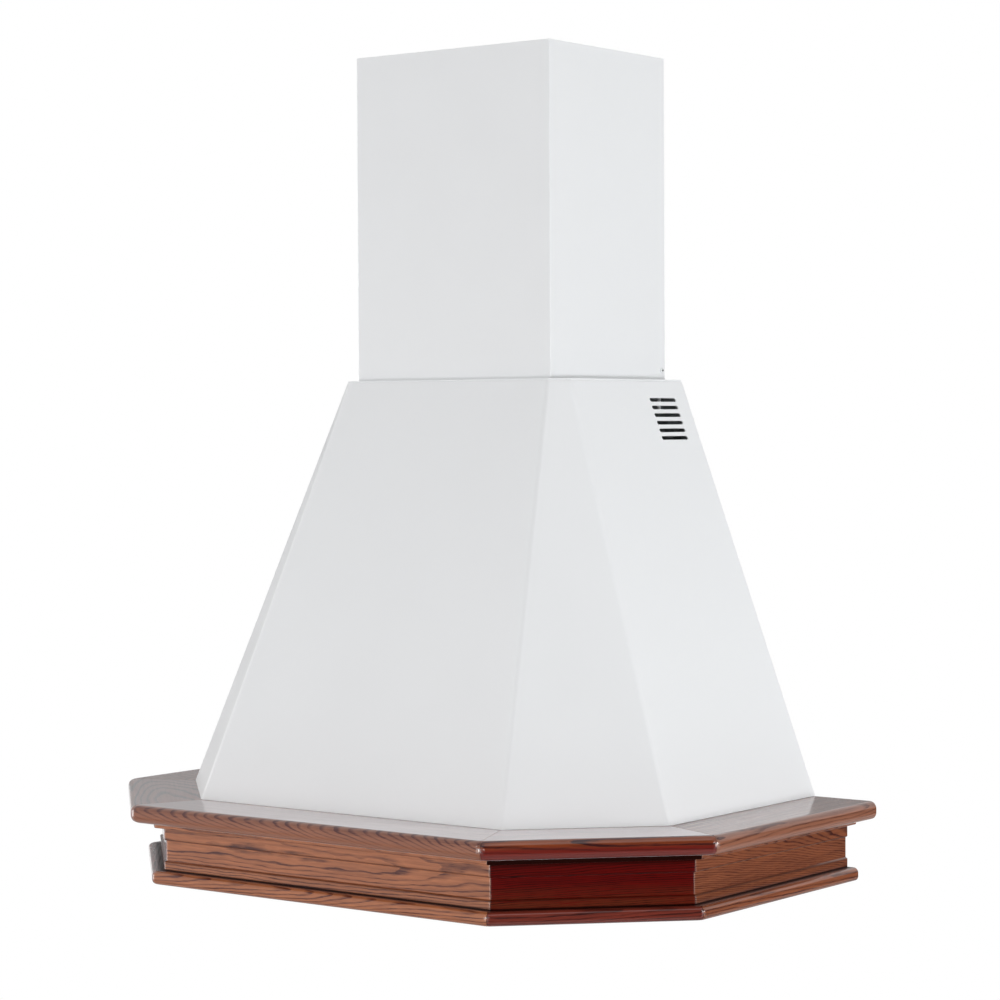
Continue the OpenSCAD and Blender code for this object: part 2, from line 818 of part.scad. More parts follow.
// The bracket that carries the blower on the back panel
module blower_bracket() {
    reach = cheek_rim - cheek_y(cheek_holes[1]);
    color("silver") difference() {
        union() {
            translate([case_w, -reach, cheek_z]) cube([bracket_t, reach - sheet_t, cheek_h]);
            translate([case_w, -sheet_t - bracket_t, cheek_z]) cube([cheek_foot, bracket_t, cheek_h]);
        }
        cheek_case_holes();
        cheek_foot_holes(1);
    }
}

// The disc sits on the shaft and carries the cage of blades
module impeller_disc() {
    color("dimgray") translate([0, fan_y, fan_z]) rotate([90, 0, 90]) difference() {
        union() {
            translate([0, 0, disc_x]) cylinder(r = fan_r - ring_w - tight, h = disc_t, $fn = round_fn);
            translate([0, 0, disc_x + disc_t / 2 - hub_h / 2]) cylinder(r = hub_r, h = hub_h);
        }
        translate([0, 0, -fan_w]) cylinder(r = shaft_r + tight, h = 2 * fan_w);
    }
}

// The blades stand between two end rings, and a middle ring holds them on the disc
module impeller_cage() {
    color("dimgray") translate([0, fan_y, fan_z]) rotate([90, 0, 90]) {
        translate([0, 0, -fan_w / 2]) linear_extrude(height = fan_w)
            for (k = [0:blade_count - 1]) rotate(k * 360 / blade_count)
                translate([fan_r - blade_w - 1, -blade_t / 2]) rotate(blade_turn) square([blade_w, blade_t]);
        for (x = [-fan_w / 2, disc_x, fan_w / 2 - disc_t]) translate([0, 0, x]) difference() {
            cylinder(r = fan_r, h = disc_t, $fn = round_fn);
            translate([0, 0, -over]) cylinder(r = fan_r - ring_w, h = disc_t + 2 * over, $fn = round_fn);
        }
    }
}

// The motor stands inside the impeller, on three arms that bear on the left inlet
module motor() {
    arm_w = 12;
    arms = 3;
    end = -motor_face - arms;
    color("gray") translate([0, fan_y, fan_z]) rotate([90, 0, 90]) difference() {
        union() {
            translate([0, 0, end + motor_boss - over]) cylinder(r = motor_r, h = motor_len);
            translate([0, 0, end]) cylinder(r = motor_r / 2, h = motor_boss);
            for (k = [0:arms - 1]) rotate(90 + k * 360 / arms)
                translate([0, -arm_w / 2, end]) cube([inlet_r + inlet_rim - over, arm_w, arms]);
        }
        translate([0, 0, end - over]) cylinder(r = shaft_r + running, h = motor_len + 2 * motor_boss);
    }
}

module motor_shaft() {
    start = -motor_face - over;
    color("silver") translate([start, fan_y, fan_z]) rotate([0, 90, 0])
        cylinder(r = shaft_r, h = disc_x + disc_t / 2 + hub_h / 2 + over - start);
}

module outlet_spigot() {
    inner = duct_r - spigot_t;
    ledge_t = 2;
    ledge_z = flap_z - fit - flap_t / 2;
    color("dimgray") translate([0, duct_y, 0]) difference() {
        union() {
            translate([-spigot_plate / 2, -spigot_plate / 2, case_top])
                cube([spigot_plate, spigot_plate, spigot_plate_t]);
            translate([0, 0, case_top]) cylinder(r = duct_r, h = spigot_plate_t + spigot_h, $fn = round_fn);
        }
        translate([0, 0, ledge_z]) cylinder(r = inner, h = spigot_h, $fn = round_fn);
        translate([0, 0, case_top - over]) cylinder(r = inner - flap_seat, h = spigot_h, $fn = round_fn);
        translate([0, 0, spigot_z + ledge_t])
            cylinder(r = inner, h = ledge_z - spigot_z - 2 * ledge_t, $fn = round_fn);
        translate([-duct_r - over, 0, flap_z]) rotate([0, 90, 0])
            cylinder(r = damper_pin_r + loose, h = 2 * duct_r + 2 * over);
    }
}

module damper_pin() {
    half = duct_r - over / 2;
    color("silver") translate([-half, duct_y, flap_z]) rotate([0, 90, 0])
        cylinder(r = damper_pin_r, h = 2 * half);
}

// Half a disc that hinges on the pin. Its two knuckles start at the given places along the pin
module flap(knuckles) {
    reach = duct_r - spigot_t - flap_gap;
    leaf = barrel_r + 2 * fit;
    color("gray") translate([0, duct_y, flap_z]) difference() {
        union() {
            intersection() {
                translate([0, 0, -flap_t / 2]) cylinder(r = reach, h = flap_t, $fn = round_fn);
                translate([-reach, leaf, -flap_t]) cube([2 * reach, reach, 2 * flap_t]);
            }
            for (x = knuckles) translate([x, 0, 0]) {
                rotate([0, 90, 0]) cylinder(r = barrel_r, h = knuckle);
                translate([0, 0, -flap_t / 2]) cube([knuckle, leaf + over, flap_t]);
            }
        }
        translate([-duct_r, 0, 0]) rotate([0, 90, 0]) cylinder(r = damper_pin_r + running, h = 2 * duct_r);
    }
}

module damper_flap_rear() {
    flap([-2 * (knuckle + over) + 0.5, 0.5]);
}

module damper_flap_front() {
    translate([0, 2 * duct_y, 0]) mirror([0, 1, 0]) flap([-knuckle - 0.5, knuckle + over + 0.5]);
}

module terminal_box() {
    color("whitesmoke") translate([box_x - box_w / 2, -sheet_t - box_d, box_z]) difference() {
        cube([box_w, box_d, box_h]);
        translate([box_wall, -over, box_wall])
            cube([box_w - 2 * box_wall, box_d - box_wall + over, box_h - 2 * box_wall]);
        translate([box_w / 2 - gland_aside, box_d / 2, box_h - box_wall - over])
            cylinder(r = gland_body_r + loose, h = box_wall + 2 * over);
    }
}

module terminal_box_lid() {
    color("whitesmoke") translate([box_x - box_w / 2, -sheet_t - box_d - box_wall, box_z])
        cube([box_w, box_wall, box_h]);
}

module cable_gland() {
    nut = 5;
    cap = 9;
    color("dimgray") translate([gland_x, gland_y, box_z + box_h])
        difference() {
            union() {
                cylinder(r = gland_body_r + 3, h = nut, $fn = 6);
                cylinder(r = gland_body_r + 1, h = nut + cap);
                translate([0, 0, -box_wall - nut]) cylinder(r = gland_body_r, h = box_wall + nut + over);
            }
            translate([0, 0, -2 * nut]) cylinder(r = gland_r, h = 4 * nut + cap);
        }
}

// The motor's capacitor, in a saddle on the back panel
module capacitor() {
    saddle_w = 16;
    color("gainsboro") translate([-capacitor_x, -sheet_t - capacitor_r - over, box_z]) {
        cylinder(r = capacitor_r, h = capacitor_l);
        translate([-saddle_w / 2, 0, saddle_w / 2])
            cube([saddle_w, capacitor_r + over, capacitor_l - saddle_w]);
    }
}

// A pan-head screw: its head stands on the XY plane, and its shank hangs below
module screw(grip) {
    cylinder(r = screw_head_r, h = screw_head_h);
    translate([0, 0, -grip]) cylinder(r = screw_r, h = grip + loose);
}

module wood_screws() {
    color("silver") for (i = [0:last_board]) at_board(i) {
        for (x = screw_spots(i, canopy_set + foot_screw_set))
            translate([x, canopy_set + foot_screw_set, canopy_z + sheet_t]) screw(screw_grip);
        for (x = screw_spots(i, frieze_in))
            translate([x, panel_set + sheet_t, rim_screw_z]) rotate([-90, 0, 0]) screw(screw_grip);
    }
    color("silver") for (side = [-1, 1])
        translate([side * lamp_x, panel_back - sheet_t, rim_screw_z]) rotate([90, 0, 0]) screw(screw_grip);
}

module sheet_screws() {
    color("silver") for (side = [-1, 1]) {
        translate([side * chimney_w / 2, -chimney_screw_in, seat_z + chimney_screw_up])
            rotate([0, side * 90, 0]) screw(side_grip);
        for (in = cheek_holes, up = cheek_rows)
            translate([side * (case_w + bracket_t), cheek_y(in), cheek_z + up])
                rotate([0, side * 90, 0]) screw(short_grip);
        for (up = cheek_rows)
            translate([side * foot_hole_x, -sheet_t - bracket_t, cheek_z + up])
                rotate([90, 0, 0]) screw(bracket_t + sheet_t);
    }
}

module top_plate_bolts() {
    color("silver") for (side = [-1, 1]) translate([side * bolt_x, -bolt_from_wall, seat_z]) {
        translate([0, 0, -bolt_len]) cylinder(r = bolt_r, h = bolt_len);
        translate([0, 0, -top_plate_t]) cylinder(r1 = bolt_r, r2 = bolt_head_r, h = top_plate_t);
        translate([0, 0, -top_plate_t - sheet_t - nut_h]) cylinder(r = nut_r, h = nut_h, $fn = 6);
    }
}

for (i = [0:last_board]) {
    shelf(i);
    frieze(i);
    rail(i);
}
for (k = [0:1]) {
    pair(k) filter_frame();
    pair(k) filter_mesh();
    pair(k) filter_latch();
    pair(k) lamp_housing();
    pair(k) lamp_lens();
    pair(k) lamp_bulb();
    pair(k) blower_case();
    pair(k) blower_bracket();
}
for (k = [0:button_count - 1])
    button(k);
back_board();
canopy_shell();
back_panel();
top_plate();
chimney_cover();
chimney_bracket();
under_panel();
control_bezel();
switch_block();
impeller_disc();
impeller_cage();
motor();
motor_shaft();
outlet_spigot();
damper_pin();
damper_flap_front();
damper_flap_rear();
terminal_box();
terminal_box_lid();
cable_gland();
capacitor();
wood_screws();
sheet_screws();
top_plate_bolts();
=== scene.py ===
# %% [markdown]
# # A wall range hood in enamelled steel and stained wood
#
# The hood is a folded steel canopy with a square chimney, and it stands on a frame of mitred boards.
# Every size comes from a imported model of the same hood, in metres: the wall is the plane Y = 0, the
# room is at -Y, and the underside of the frame is Z = 0. The script builds the pieces that show, one
# after the other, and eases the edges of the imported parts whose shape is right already.

import json
import math
from contextlib import contextmanager

import bmesh
import bpy
from mathutils import Matrix, Vector

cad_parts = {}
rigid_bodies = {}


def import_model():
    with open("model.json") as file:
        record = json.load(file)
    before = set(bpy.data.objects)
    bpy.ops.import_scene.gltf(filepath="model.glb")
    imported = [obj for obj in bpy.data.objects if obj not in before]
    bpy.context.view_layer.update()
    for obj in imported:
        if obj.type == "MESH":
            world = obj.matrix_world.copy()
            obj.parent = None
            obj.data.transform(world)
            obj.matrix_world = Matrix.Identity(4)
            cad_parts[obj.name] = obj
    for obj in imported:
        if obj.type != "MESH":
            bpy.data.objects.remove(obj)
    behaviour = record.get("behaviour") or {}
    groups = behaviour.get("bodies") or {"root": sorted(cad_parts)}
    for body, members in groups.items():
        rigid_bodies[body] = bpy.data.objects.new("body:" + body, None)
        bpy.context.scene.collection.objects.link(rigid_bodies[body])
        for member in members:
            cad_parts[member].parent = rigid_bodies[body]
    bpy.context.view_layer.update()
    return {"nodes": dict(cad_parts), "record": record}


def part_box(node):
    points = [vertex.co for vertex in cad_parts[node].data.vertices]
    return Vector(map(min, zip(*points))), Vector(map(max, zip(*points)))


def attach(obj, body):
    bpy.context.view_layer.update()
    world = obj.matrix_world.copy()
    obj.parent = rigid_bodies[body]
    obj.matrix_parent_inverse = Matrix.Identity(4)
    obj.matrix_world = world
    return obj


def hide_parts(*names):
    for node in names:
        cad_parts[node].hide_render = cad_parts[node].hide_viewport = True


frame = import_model()
MM = 0.001
HANDS = {"left": -1, "right": 1}

# %% [markdown]
# ## Helpers for modelling
#
# A piece starts as a primitive at its real size and place. It is then shaped in edit mode, the way a
# modeller does by hand: deselect all, pick the faces or edges that matter, and run one operator.
# Picking them by their place or direction, and not by their number, keeps the steps readable and
# keeps them right when a size changes.


# %% Select, edit and finish one piece
def only(piece):
    """Makes the piece the only selected object and the active one."""
    bpy.ops.object.select_all(action="DESELECT")
    piece.select_set(True)
    bpy.context.view_layer.objects.active = piece


def settle(piece):
    """Puts a piece's place, turn and size into its mesh, so that the object is at the origin."""
    only(piece)
    bpy.ops.object.transform_apply(location=True, rotation=True, scale=True)


@contextmanager
def editing(piece):
    """Edit mode on one piece, left again at the end."""
    only(piece)
    bpy.ops.object.mode_set(mode="EDIT")
    yield
    bpy.ops.object.mode_set(mode="OBJECT")


def pick(piece, kind, test):
    """Selects the vertices, edges or faces that pass a test."""
    bpy.ops.mesh.select_mode(type=kind)
    bpy.ops.mesh.select_all(action="DESELECT")
    mesh = bmesh.from_edit_mesh(piece.data)
    parts = {"VERT": mesh.verts, "EDGE": mesh.edges, "FACE": mesh.faces}[kind]
    for part in filter(test, parts):
        part.select_set(True)
    bmesh.update_edit_mesh(piece.data)


def near(a, b, by=0.05 * MM):
    """True if two lengths differ by less than a hair."""
    return abs(a - b) < by


def middle(part):
    """The middle of an edge or a face."""
    corners = [v.co for v in part.verts]
    return sum(corners, Vector()) / len(corners)


def along(edge, axis):
    """True if an edge runs along X, Y or Z, given as 0, 1 or 2."""
    run = (edge.verts[1].co - edge.verts[0].co).normalized()
    return abs(run[axis]) > 0.999


def block(name, low, high):
    """A box between two corners, the start of many pieces."""
    low, high = Vector(low), Vector(high)
    bpy.ops.object.select_all(action="DESELECT")
    bpy.ops.mesh.primitive_cube_add(size=1, location=(low + high) / 2, scale=high - low)
    piece = bpy.context.active_object
    piece.name = name
    settle(piece)
    return piece


def rod(name, base, top, r, sides=48):
    """A round bar between two points, the start of screws, lenses and round marks."""
    base, top = Vector(base), Vector(top)
    run = top - base
    bpy.ops.object.select_all(action="DESELECT")
    turn = Vector((0, 0, 1)).rotation_difference(run).to_euler()
    bpy.ops.mesh.primitive_cylinder_add(
        vertices=sides, radius=r, depth=run.length, location=(base + top) / 2, rotation=turn)
    piece = bpy.context.active_object
    piece.name = name
    settle(piece)
    return piece


def cut(piece, at, normal, keep_both=False):
    """Cuts the whole mesh along a plane, and closes the cut unless both halves stay."""
    bpy.ops.mesh.select_all(action="SELECT")
    bpy.ops.mesh.bisect(
        plane_co=at, plane_no=normal, use_fill=not keep_both, clear_outer=not keep_both)


def bevel(width, segments=3):
    """Rounds the selected edges."""
    bpy.ops.mesh.bevel(offset=width, segments=segments, profile=0.5, affect="EDGES")


def move(by):
    """Moves what is selected in edit mode."""
    bpy.ops.transform.translate(value=by)


def apply_modifier(piece, kind, **settings):
    """Adds one modifier and applies it at once."""
    only(piece)
    modifier = piece.modifiers.new(kind.title(), kind)
    for name, value in settings.items():
        setattr(modifier, name, value)
    bpy.ops.object.modifier_apply(modifier=modifier.name)


def smooth(piece, angle=32):
    """Smooth shading that stays crisp at corners and flat on the large faces."""
    only(piece)
    bpy.ops.object.shade_smooth_by_angle(angle=math.radians(angle))
    apply_modifier(piece, "WEIGHTED_NORMAL", keep_sharp=True, weight=60)


def join(name, pieces):
    """Joins several meshes into one piece."""
    bpy.ops.object.select_all(action="DESELECT")
    for piece in pieces:
        piece.select_set(True)
    bpy.context.view_layer.objects.active = pieces[0]
    if len(pieces) > 1:
        bpy.ops.object.join()
    pieces[0].name = name
    return pieces[0]


BODY_OF = {n: b for b, members in frame["record"]["behaviour"]["bodies"].items() for n in members}
SLOT_OF = {row["node"]: row["material_slot"] for row in frame["record"]["subparts"]}


def stands_for(piece, node):
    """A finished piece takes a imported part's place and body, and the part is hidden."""
    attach(piece, BODY_OF[node])
    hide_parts(node)
    return piece


def paint(piece, material):
    """Gives a whole piece one material."""
    piece.data.materials.clear()
    piece.data.materials.append(material)
    return piece


# %% [markdown]
# ## Helpers for materials
#
# A finish is a small net of nodes: coordinates go into noise, noise is shaped by a little arithmetic,
# and the result drives colour, roughness or bump. Short functions place the nodes and wire them, so
# that each finish below reads as its recipe.


# %% Place nodes and wire them
def add(tree, kind, inputs=None, **settings):
    """Places one node. An input that is a socket gets a wire, and any other is a plain value."""
    made = tree.nodes.new(kind)
    for name, value in settings.items():
        setattr(made, name, value)
    for key, value in (inputs or {}).items():
        if isinstance(value, bpy.types.NodeSocket):
            tree.links.new(value, made.inputs[key])
        else:
            made.inputs[key].default_value = value
    return made


def calc(tree, operation, *values):
    """One arithmetic step."""
    return add(tree, "ShaderNodeMath", dict(enumerate(values)), operation=operation).outputs[0]


def spread(tree, value, low, high, to_low=0.0, to_high=1.0):
    """Stretches a value from one range to another, and clamps it there."""
    made = add(tree, "ShaderNodeMapRange", {
        "Value": value, "From Min": low, "From Max": high, "To Min": to_low, "To Max": to_high})
    return made.outputs["Result"]


def noise(tree, where, scale, detail=2.0, roughness=0.5):
    """A cloudy value from 0 to 1."""
    return add(tree, "ShaderNodeTexNoise", {
        "Vector": where, "Scale": scale, "Detail": detail, "Roughness": roughness}).outputs["Fac"]


def calc_vector(tree, operation, first, second):
    """One arithmetic step on all three numbers of a vector."""
    made = add(tree, "ShaderNodeVectorMath", {0: first, 1: second}, operation=operation)
    return made.outputs["Vector"]


def stretched(tree, where, by):
    """Coordinates multiplied along each axis."""
    return calc_vector(tree, "MULTIPLY", where, by)


def axes_of(tree, vector):
    """The three numbers of a vector."""
    return add(tree, "ShaderNodeSeparateXYZ", {0: vector}).outputs


def centred(tree, cloud):
    """A cloudy value moved to swing to both sides of nought."""
    return calc(tree, "SUBTRACT", cloud, 0.5)


def weighted(tree, *terms):
    """The sum of several values, each times its own share."""
    parts = [calc(tree, "MULTIPLY", value, share) for value, share in terms]
    total = parts[0]
    for part in parts[1:]:
        total = calc(tree, "ADD", total, part)
    return total


def greatest(tree, *values):
    """The greatest of several values."""
    most = values[0]
    for value in values[1:]:
        most = calc(tree, "MAXIMUM", most, value)
    return most


def blended(tree, share, first, second):
    """A colour between two colours."""
    made = add(tree, "ShaderNodeMix", {"Factor": share, 6: first, 7: second}, data_type="RGBA")
    return made.outputs[2]


def new_group(name, inputs, outputs):
    """An empty group with sockets from {name: (kind, value)}: its tree, inputs and outputs."""
    tree = bpy.data.node_groups.new(name, "ShaderNodeTree")
    for title, (kind, value) in inputs.items():
        socket = tree.interface.new_socket(title, in_out="INPUT", socket_type="NodeSocket" + kind)
        socket.default_value = value
    for title, kind in outputs.items():
        tree.interface.new_socket(title, in_out="OUTPUT", socket_type="NodeSocket" + kind)
    entry = tree.nodes.new("NodeGroupInput")
    leave = tree.nodes.new("NodeGroupOutput")
    return tree, entry.outputs, leave.inputs


def use_group(tree, group, inputs):
    """Places a node group in a material."""
    return add(tree, "ShaderNodeGroup", inputs, node_tree=group).outputs


def new_finish(name, **plain):
    """A material with a Principled shader, whose plain numbers are set on its own sockets."""
    material = bpy.data.materials.new(name)
    material.use_nodes = True
    tree = material.node_tree
    shader = tree.nodes["Principled BSDF"]
    for key, value in plain.items():
        shader.inputs[key.replace("_", " ")].default_value = value
    where = add(tree, "ShaderNodeTexCoord").outputs["Object"]
    return material, tree, shader, where


def bump(tree, shader, height, depth, strength=1.0):
    """Feeds a height to the shader's normal, with its full depth in metres."""
    made = add(tree, "ShaderNodeBump", {"Height": height, "Distance": depth, "Strength": strength})
    tree.links.new(made.outputs["Normal"], shader.inputs["Normal"])


# %% [markdown]
# ## Camera
#
# The photograph looks at the hood from the front right, from about half of its height and from some
# way off, so its lens is long. Its place was worked out from the hood's own edges. Place and view
# direction together give the camera's axes, and a slight roll completes them.

# %% Place the camera
IMAGE = 1000
focal_pixels = 2863.7
yaw, pitch, roll = math.radians(-37.018), math.radians(-1.55), math.radians(-0.2813)
eye = Vector((2.1493, -2.9994, 0.5537))
look = Vector((math.sin(yaw) * math.cos(pitch), math.cos(yaw) * math.cos(pitch), math.sin(pitch)))
level_right = Vector((math.cos(yaw), -math.sin(yaw), 0))
level_up = level_right.cross(look)
right = math.cos(roll) * level_right + math.sin(roll) * level_up
up = math.cos(roll) * level_up - math.sin(roll) * level_right
bpy.ops.object.camera_add()
camera = bpy.context.active_object
camera.matrix_world = Matrix.Translation(eye) @ Matrix((right, up, -look)).transposed().to_4x4()
camera.data.sensor_width = 36
camera.data.lens = focal_pixels / IMAGE * camera.data.sensor_width
bpy.context.scene.camera = camera
print("camera lens", round(camera.data.lens, 1), "mm, distance", round(eye.length, 2), "m")

# %% [markdown]
# ## Stained wood
#
# Ash and oak show their year rings as thin lines of open pores, which hold more stain than the hard
# wood between them. A picture of wood would repeat and would end at every edge, so the grain is
# worked out in space instead: rings round a pith that runs beside the board, bent a little by noise.
# Where a face lies flat to the rings it shows wide arches, and where it cuts across them it shows
# straight lines, as on sawn wood. Each board has its own pith, lean and seed.


# %% Coordinates along one board
def board_space(tree, given):
    """Coordinates with X along the board, plain and shifted by a seed for the noises."""
    from_corner = calc_vector(tree, "SUBTRACT", given["Vector"], given["Corner"])
    back = calc(tree, "MULTIPLY", given["Turn"], -1.0)
    turned = add(tree, "ShaderNodeVectorRotate", {"Vector": from_corner, "Angle": back},
                 rotation_type="Z_AXIS").outputs["Vector"]
    seed = add(tree, "ShaderNodeCombineXYZ", {0: given["Seed"]}).outputs[0]
    return turned, calc_vector(tree, "ADD", turned, seed)


def sway_of(tree, where, scales, detail, depth):
    """A noise that bends the rings by up to half of a depth in metres, either way."""
    cloud = noise(tree, stretched(tree, where, scales), 1, detail)
    return calc(tree, "MULTIPLY", centred(tree, cloud), depth)


# %% Distance from the pith, bent by noise
grain, given, gives = new_group(
    "board_grain",
    {"Vector": ("Vector", (0, 0, 0)), "Corner": ("Vector", (0, 0, 0)), "Turn": ("Float", 0.0),
     "Pith": ("Vector", (0, 0.05, -0.04)), "Lean": ("Vector", (0, 0, 0)), "Ring": ("Float", 0.004),
     "Seed": ("Float", 0.0), "Sway": ("Float", 0.02)},
    {"Tone": "Float", "Gloss": "Float", "Height": "Float", "Inwards": "Float"})
SLOW_BENDS, FINE_BENDS, FINE_BEND_DEPTH = (3.2, 9, 9), (14, 60, 60), 4.5 * MM
board_at, seeded = board_space(grain, given)
board_axes, pith_axes, lean_axes = [
    axes_of(grain, vector) for vector in (board_at, given["Pith"], given["Lean"])]
past_pith = calc(grain, "SUBTRACT", board_axes[0], pith_axes[0])
squares = []
for axis in (1, 2):
    lean = calc(grain, "MULTIPLY", past_pith, lean_axes[axis])
    from_pith = calc(grain, "SUBTRACT", board_axes[axis], pith_axes[axis])
    offset = calc(grain, "SUBTRACT", from_pith, lean)
    squares.append(calc(grain, "MULTIPLY", offset, offset))
radius = calc(grain, "SQRT", calc(grain, "ADD", *squares))
slow_depth = calc(grain, "MULTIPLY", given["Sway"], 2.0)
radius = calc(grain, "ADD", radius, sway_of(grain, seeded, SLOW_BENDS, 1, slow_depth))
radius = calc(grain, "ADD", radius, sway_of(grain, seeded, FINE_BENDS, 2, FINE_BEND_DEPTH))
ring_number = calc(grain, "DIVIDE", radius, given["Ring"])
in_ring = calc(grain, "FRACT", ring_number)
print("ring distance:", len(grain.nodes), "nodes")

# %% Lines, pores and fibres
LINE_RISES, LINE_FADES, LATE_WOOD = (0.0, 0.08), (0.50, 0.20), (0.30, 1.0)
BREAKS, FIBRES, PORES, CLOUDS = (26, 420, 420), (12, 320, 320), (60, 1300, 1300), (4, 25, 25)
own_value = add(grain, "ShaderNodeTexWhiteNoise", {"W": calc(grain, "FLOOR", ring_number)},
                noise_dimensions="1D").outputs["Value"]
ring_weight = spread(grain, own_value, 0, 1, 0.55, 1.0)
rise, fade = spread(grain, in_ring, *LINE_RISES), spread(grain, in_ring, *LINE_FADES)
line = calc(grain, "MULTIPLY", calc(grain, "MULTIPLY", rise, fade), ring_weight)
broken = noise(grain, stretched(grain, seeded, BREAKS), 1, 2)
line = calc(grain, "MULTIPLY", line, spread(grain, broken, 0.32, 0.52, 0.60, 1.0))
fibres = noise(grain, stretched(grain, seeded, FIBRES), 1, 4, 0.65)
dashes = spread(grain, noise(grain, stretched(grain, seeded, PORES), 1, 1), 0.52, 0.62)
pores = calc(grain, "MULTIPLY", dashes, spread(grain, line, 0, 0.5, 0.35, 1.0))
cloud = noise(grain, stretched(grain, seeded, CLOUDS), 1, 2)
tone = weighted(grain, (line, 1.05), (pores, 0.30), (spread(grain, in_ring, *LATE_WOOD), 0.22),
                (centred(grain, fibres), 1.1), (centred(grain, cloud), 0.45))
grain.links.new(tone, gives["Tone"])
grain.links.new(weighted(grain, (line, 0.6), (fibres, 1.0)), gives["Gloss"])
grain.links.new(weighted(grain, (fibres, 0.35), (pores, -0.6), (line, -0.4)), gives["Height"])
grain.links.new(board_axes[1], gives["Inwards"])
print("grain group:", len(grain.nodes), "nodes")

# %% [markdown]
# ## Fine unevenness
#
# No sprayed, moulded or rolled surface is perfectly even. One group gives every other finish its fine
# unevenness: a slow cloud that shifts the sheen, and a fine ripple like the skin of an orange. Zinc
# and rolled metal get a pattern of their own in place of the cloud.


# %% Unevenness that the other finishes share
CLOUD_SIZE = 12.0
skin, given, gives = new_group(
    "surface_skin", {"Vector": ("Vector", (0, 0, 0)), "Ripple size": ("Float", 500.0)},
    {"Cloud": "Float", "Ripple": "Float"})
skin.links.new(noise(skin, given["Vector"], CLOUD_SIZE, 3.0), gives["Cloud"])
skin.links.new(noise(skin, given["Vector"], given["Ripple size"], 1.0), gives["Ripple"])
print("skin group:", len(skin.nodes), "nodes")


# %% Patterns and the shared recipe
def spangle(tree, where):
    """The frosty crystals of a zinc coat, each with its own grey."""
    crystals = add(tree, "ShaderNodeTexVoronoi", {"Vector": where, "Scale": 120.0}).outputs["Color"]
    return axes_of(tree, crystals)[0]


def brushed(tree, where):
    """Fine straight streaks along X."""
    return noise(tree, stretched(tree, where, (14, 1300, 1300)), 1, 3)


def coated(name, colour, rough, ripple_size=500.0, ripple_depth=0.02 * MM, tint=0.04,
           pattern=None, **plain):
    """A painted, moulded or plated finish: one colour, an uneven sheen and a fine ripple."""
    material, tree, shader, where = new_finish(name, **plain)
    look_of = use_group(tree, skin, {"Vector": where, "Ripple size": ripple_size})
    mask = pattern(tree, where) if pattern else look_of["Cloud"]
    darker = tuple(c * (1 - tint) for c in colour)
    base = blended(tree, mask, (*darker, 1), (*colour, 1))
    tree.links.new(base, shader.inputs["Base Color"])
    uneven = spread(tree, mask, 0.3, 0.7, rough * 0.85, rough * 1.15)
    tree.links.new(uneven, shader.inputs["Roughness"])
    bump(tree, shader, look_of["Ripple"], ripple_depth)
    return material


# %% [markdown]
# ## White enamel
#
# The canopy and chimney are sprayed in a white enamel with a soft gloss. Its colour is nearly even.
# What the eye reads is the soft change of sheen and the ripple of the spray, about a millimetre wide.

# %% White enamel
enamel = coated("white_enamel", (0.858, 0.868, 0.880), 0.36, ripple_size=700.0,
                ripple_depth=0.012 * MM, tint=0.010, Coat_Weight=0.2, Coat_Roughness=0.25)
# Near-black lining for the canopy's inner faces: painted shade, which keeps the slots dark
shade_lining = coated("shade_lining_paint", (0.020, 0.020, 0.022), 0.6, tint=0.2)
print("enamel and primer ready")

# %% [markdown]
# ## The boards
#
# The frame has three layers: a shelf with a rounded edge, a frieze with a sunk band, and a rail with a
# rounded edge. Each layer is five boards, mitred at 22.5 degrees where they turn by 45. A board is a
# box along X whose section is shaped first, and the mitres are then sawn off its ends, as in a
# workshop. The sawn edges get a tiny bevel, which catches light at each joint.

# %% Where each board lies
SIDES = ["left_side", "left_corner", "front", "right_corner", "right_side"]
half_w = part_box("shelf_right_side")[1].x
depth = -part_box("shelf_front")[0].y
corner_cut = 187 * MM
corners = [(-half_w, 0), (-half_w, corner_cut - depth), (corner_cut - half_w, -depth),
           (half_w - corner_cut, -depth), (half_w, corner_cut - depth), (half_w, 0)]
half_turn = math.radians(22.5)
mitre = math.tan(half_turn)
mitre_gap = 0.15 * MM / math.cos(half_turn)
sawn_bevel = 0.25 * MM
corner_points = [Vector((x, y, 0)) for x, y in corners]
runs = [corner_points[i + 1] - corner_points[i] for i in range(5)]
turns = [math.atan2(run.y, run.x) for run in runs]
shelf_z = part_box("shelf_front")[0].z
shelf_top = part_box("shelf_front")[1].z
rail_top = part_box("rail_front")[1].z
band_low, band_high, step_z = 26 * MM, 53 * MM, 68 * MM
print("board lengths", [round(run.length, 3) for run in runs])

# %% [markdown]
# ### Stain, haze, painted light and painted shade
#
# Each board was sawn a little differently, so each gets a cut of the grain group and two colours,
# for the hard wood and for the pores. These colours are lit and shaded copies of one stain: the corner
# boards are darker and redder as painted shade, and the front frieze and rail are lighter than the
# sides as painted light. The lacquer is the shader's clear coat, and a weak sheen is the haze that
# lies on the upper boards. On the corner boards the top of the shelf's rounded edge is lighter as
# painted light, and the frieze is lighter low down. Painted shade darkens the wood where boards meet,
# at the sunk band's edges and under the corner's step. All follow the height on the board, so they
# are masks from its Z.

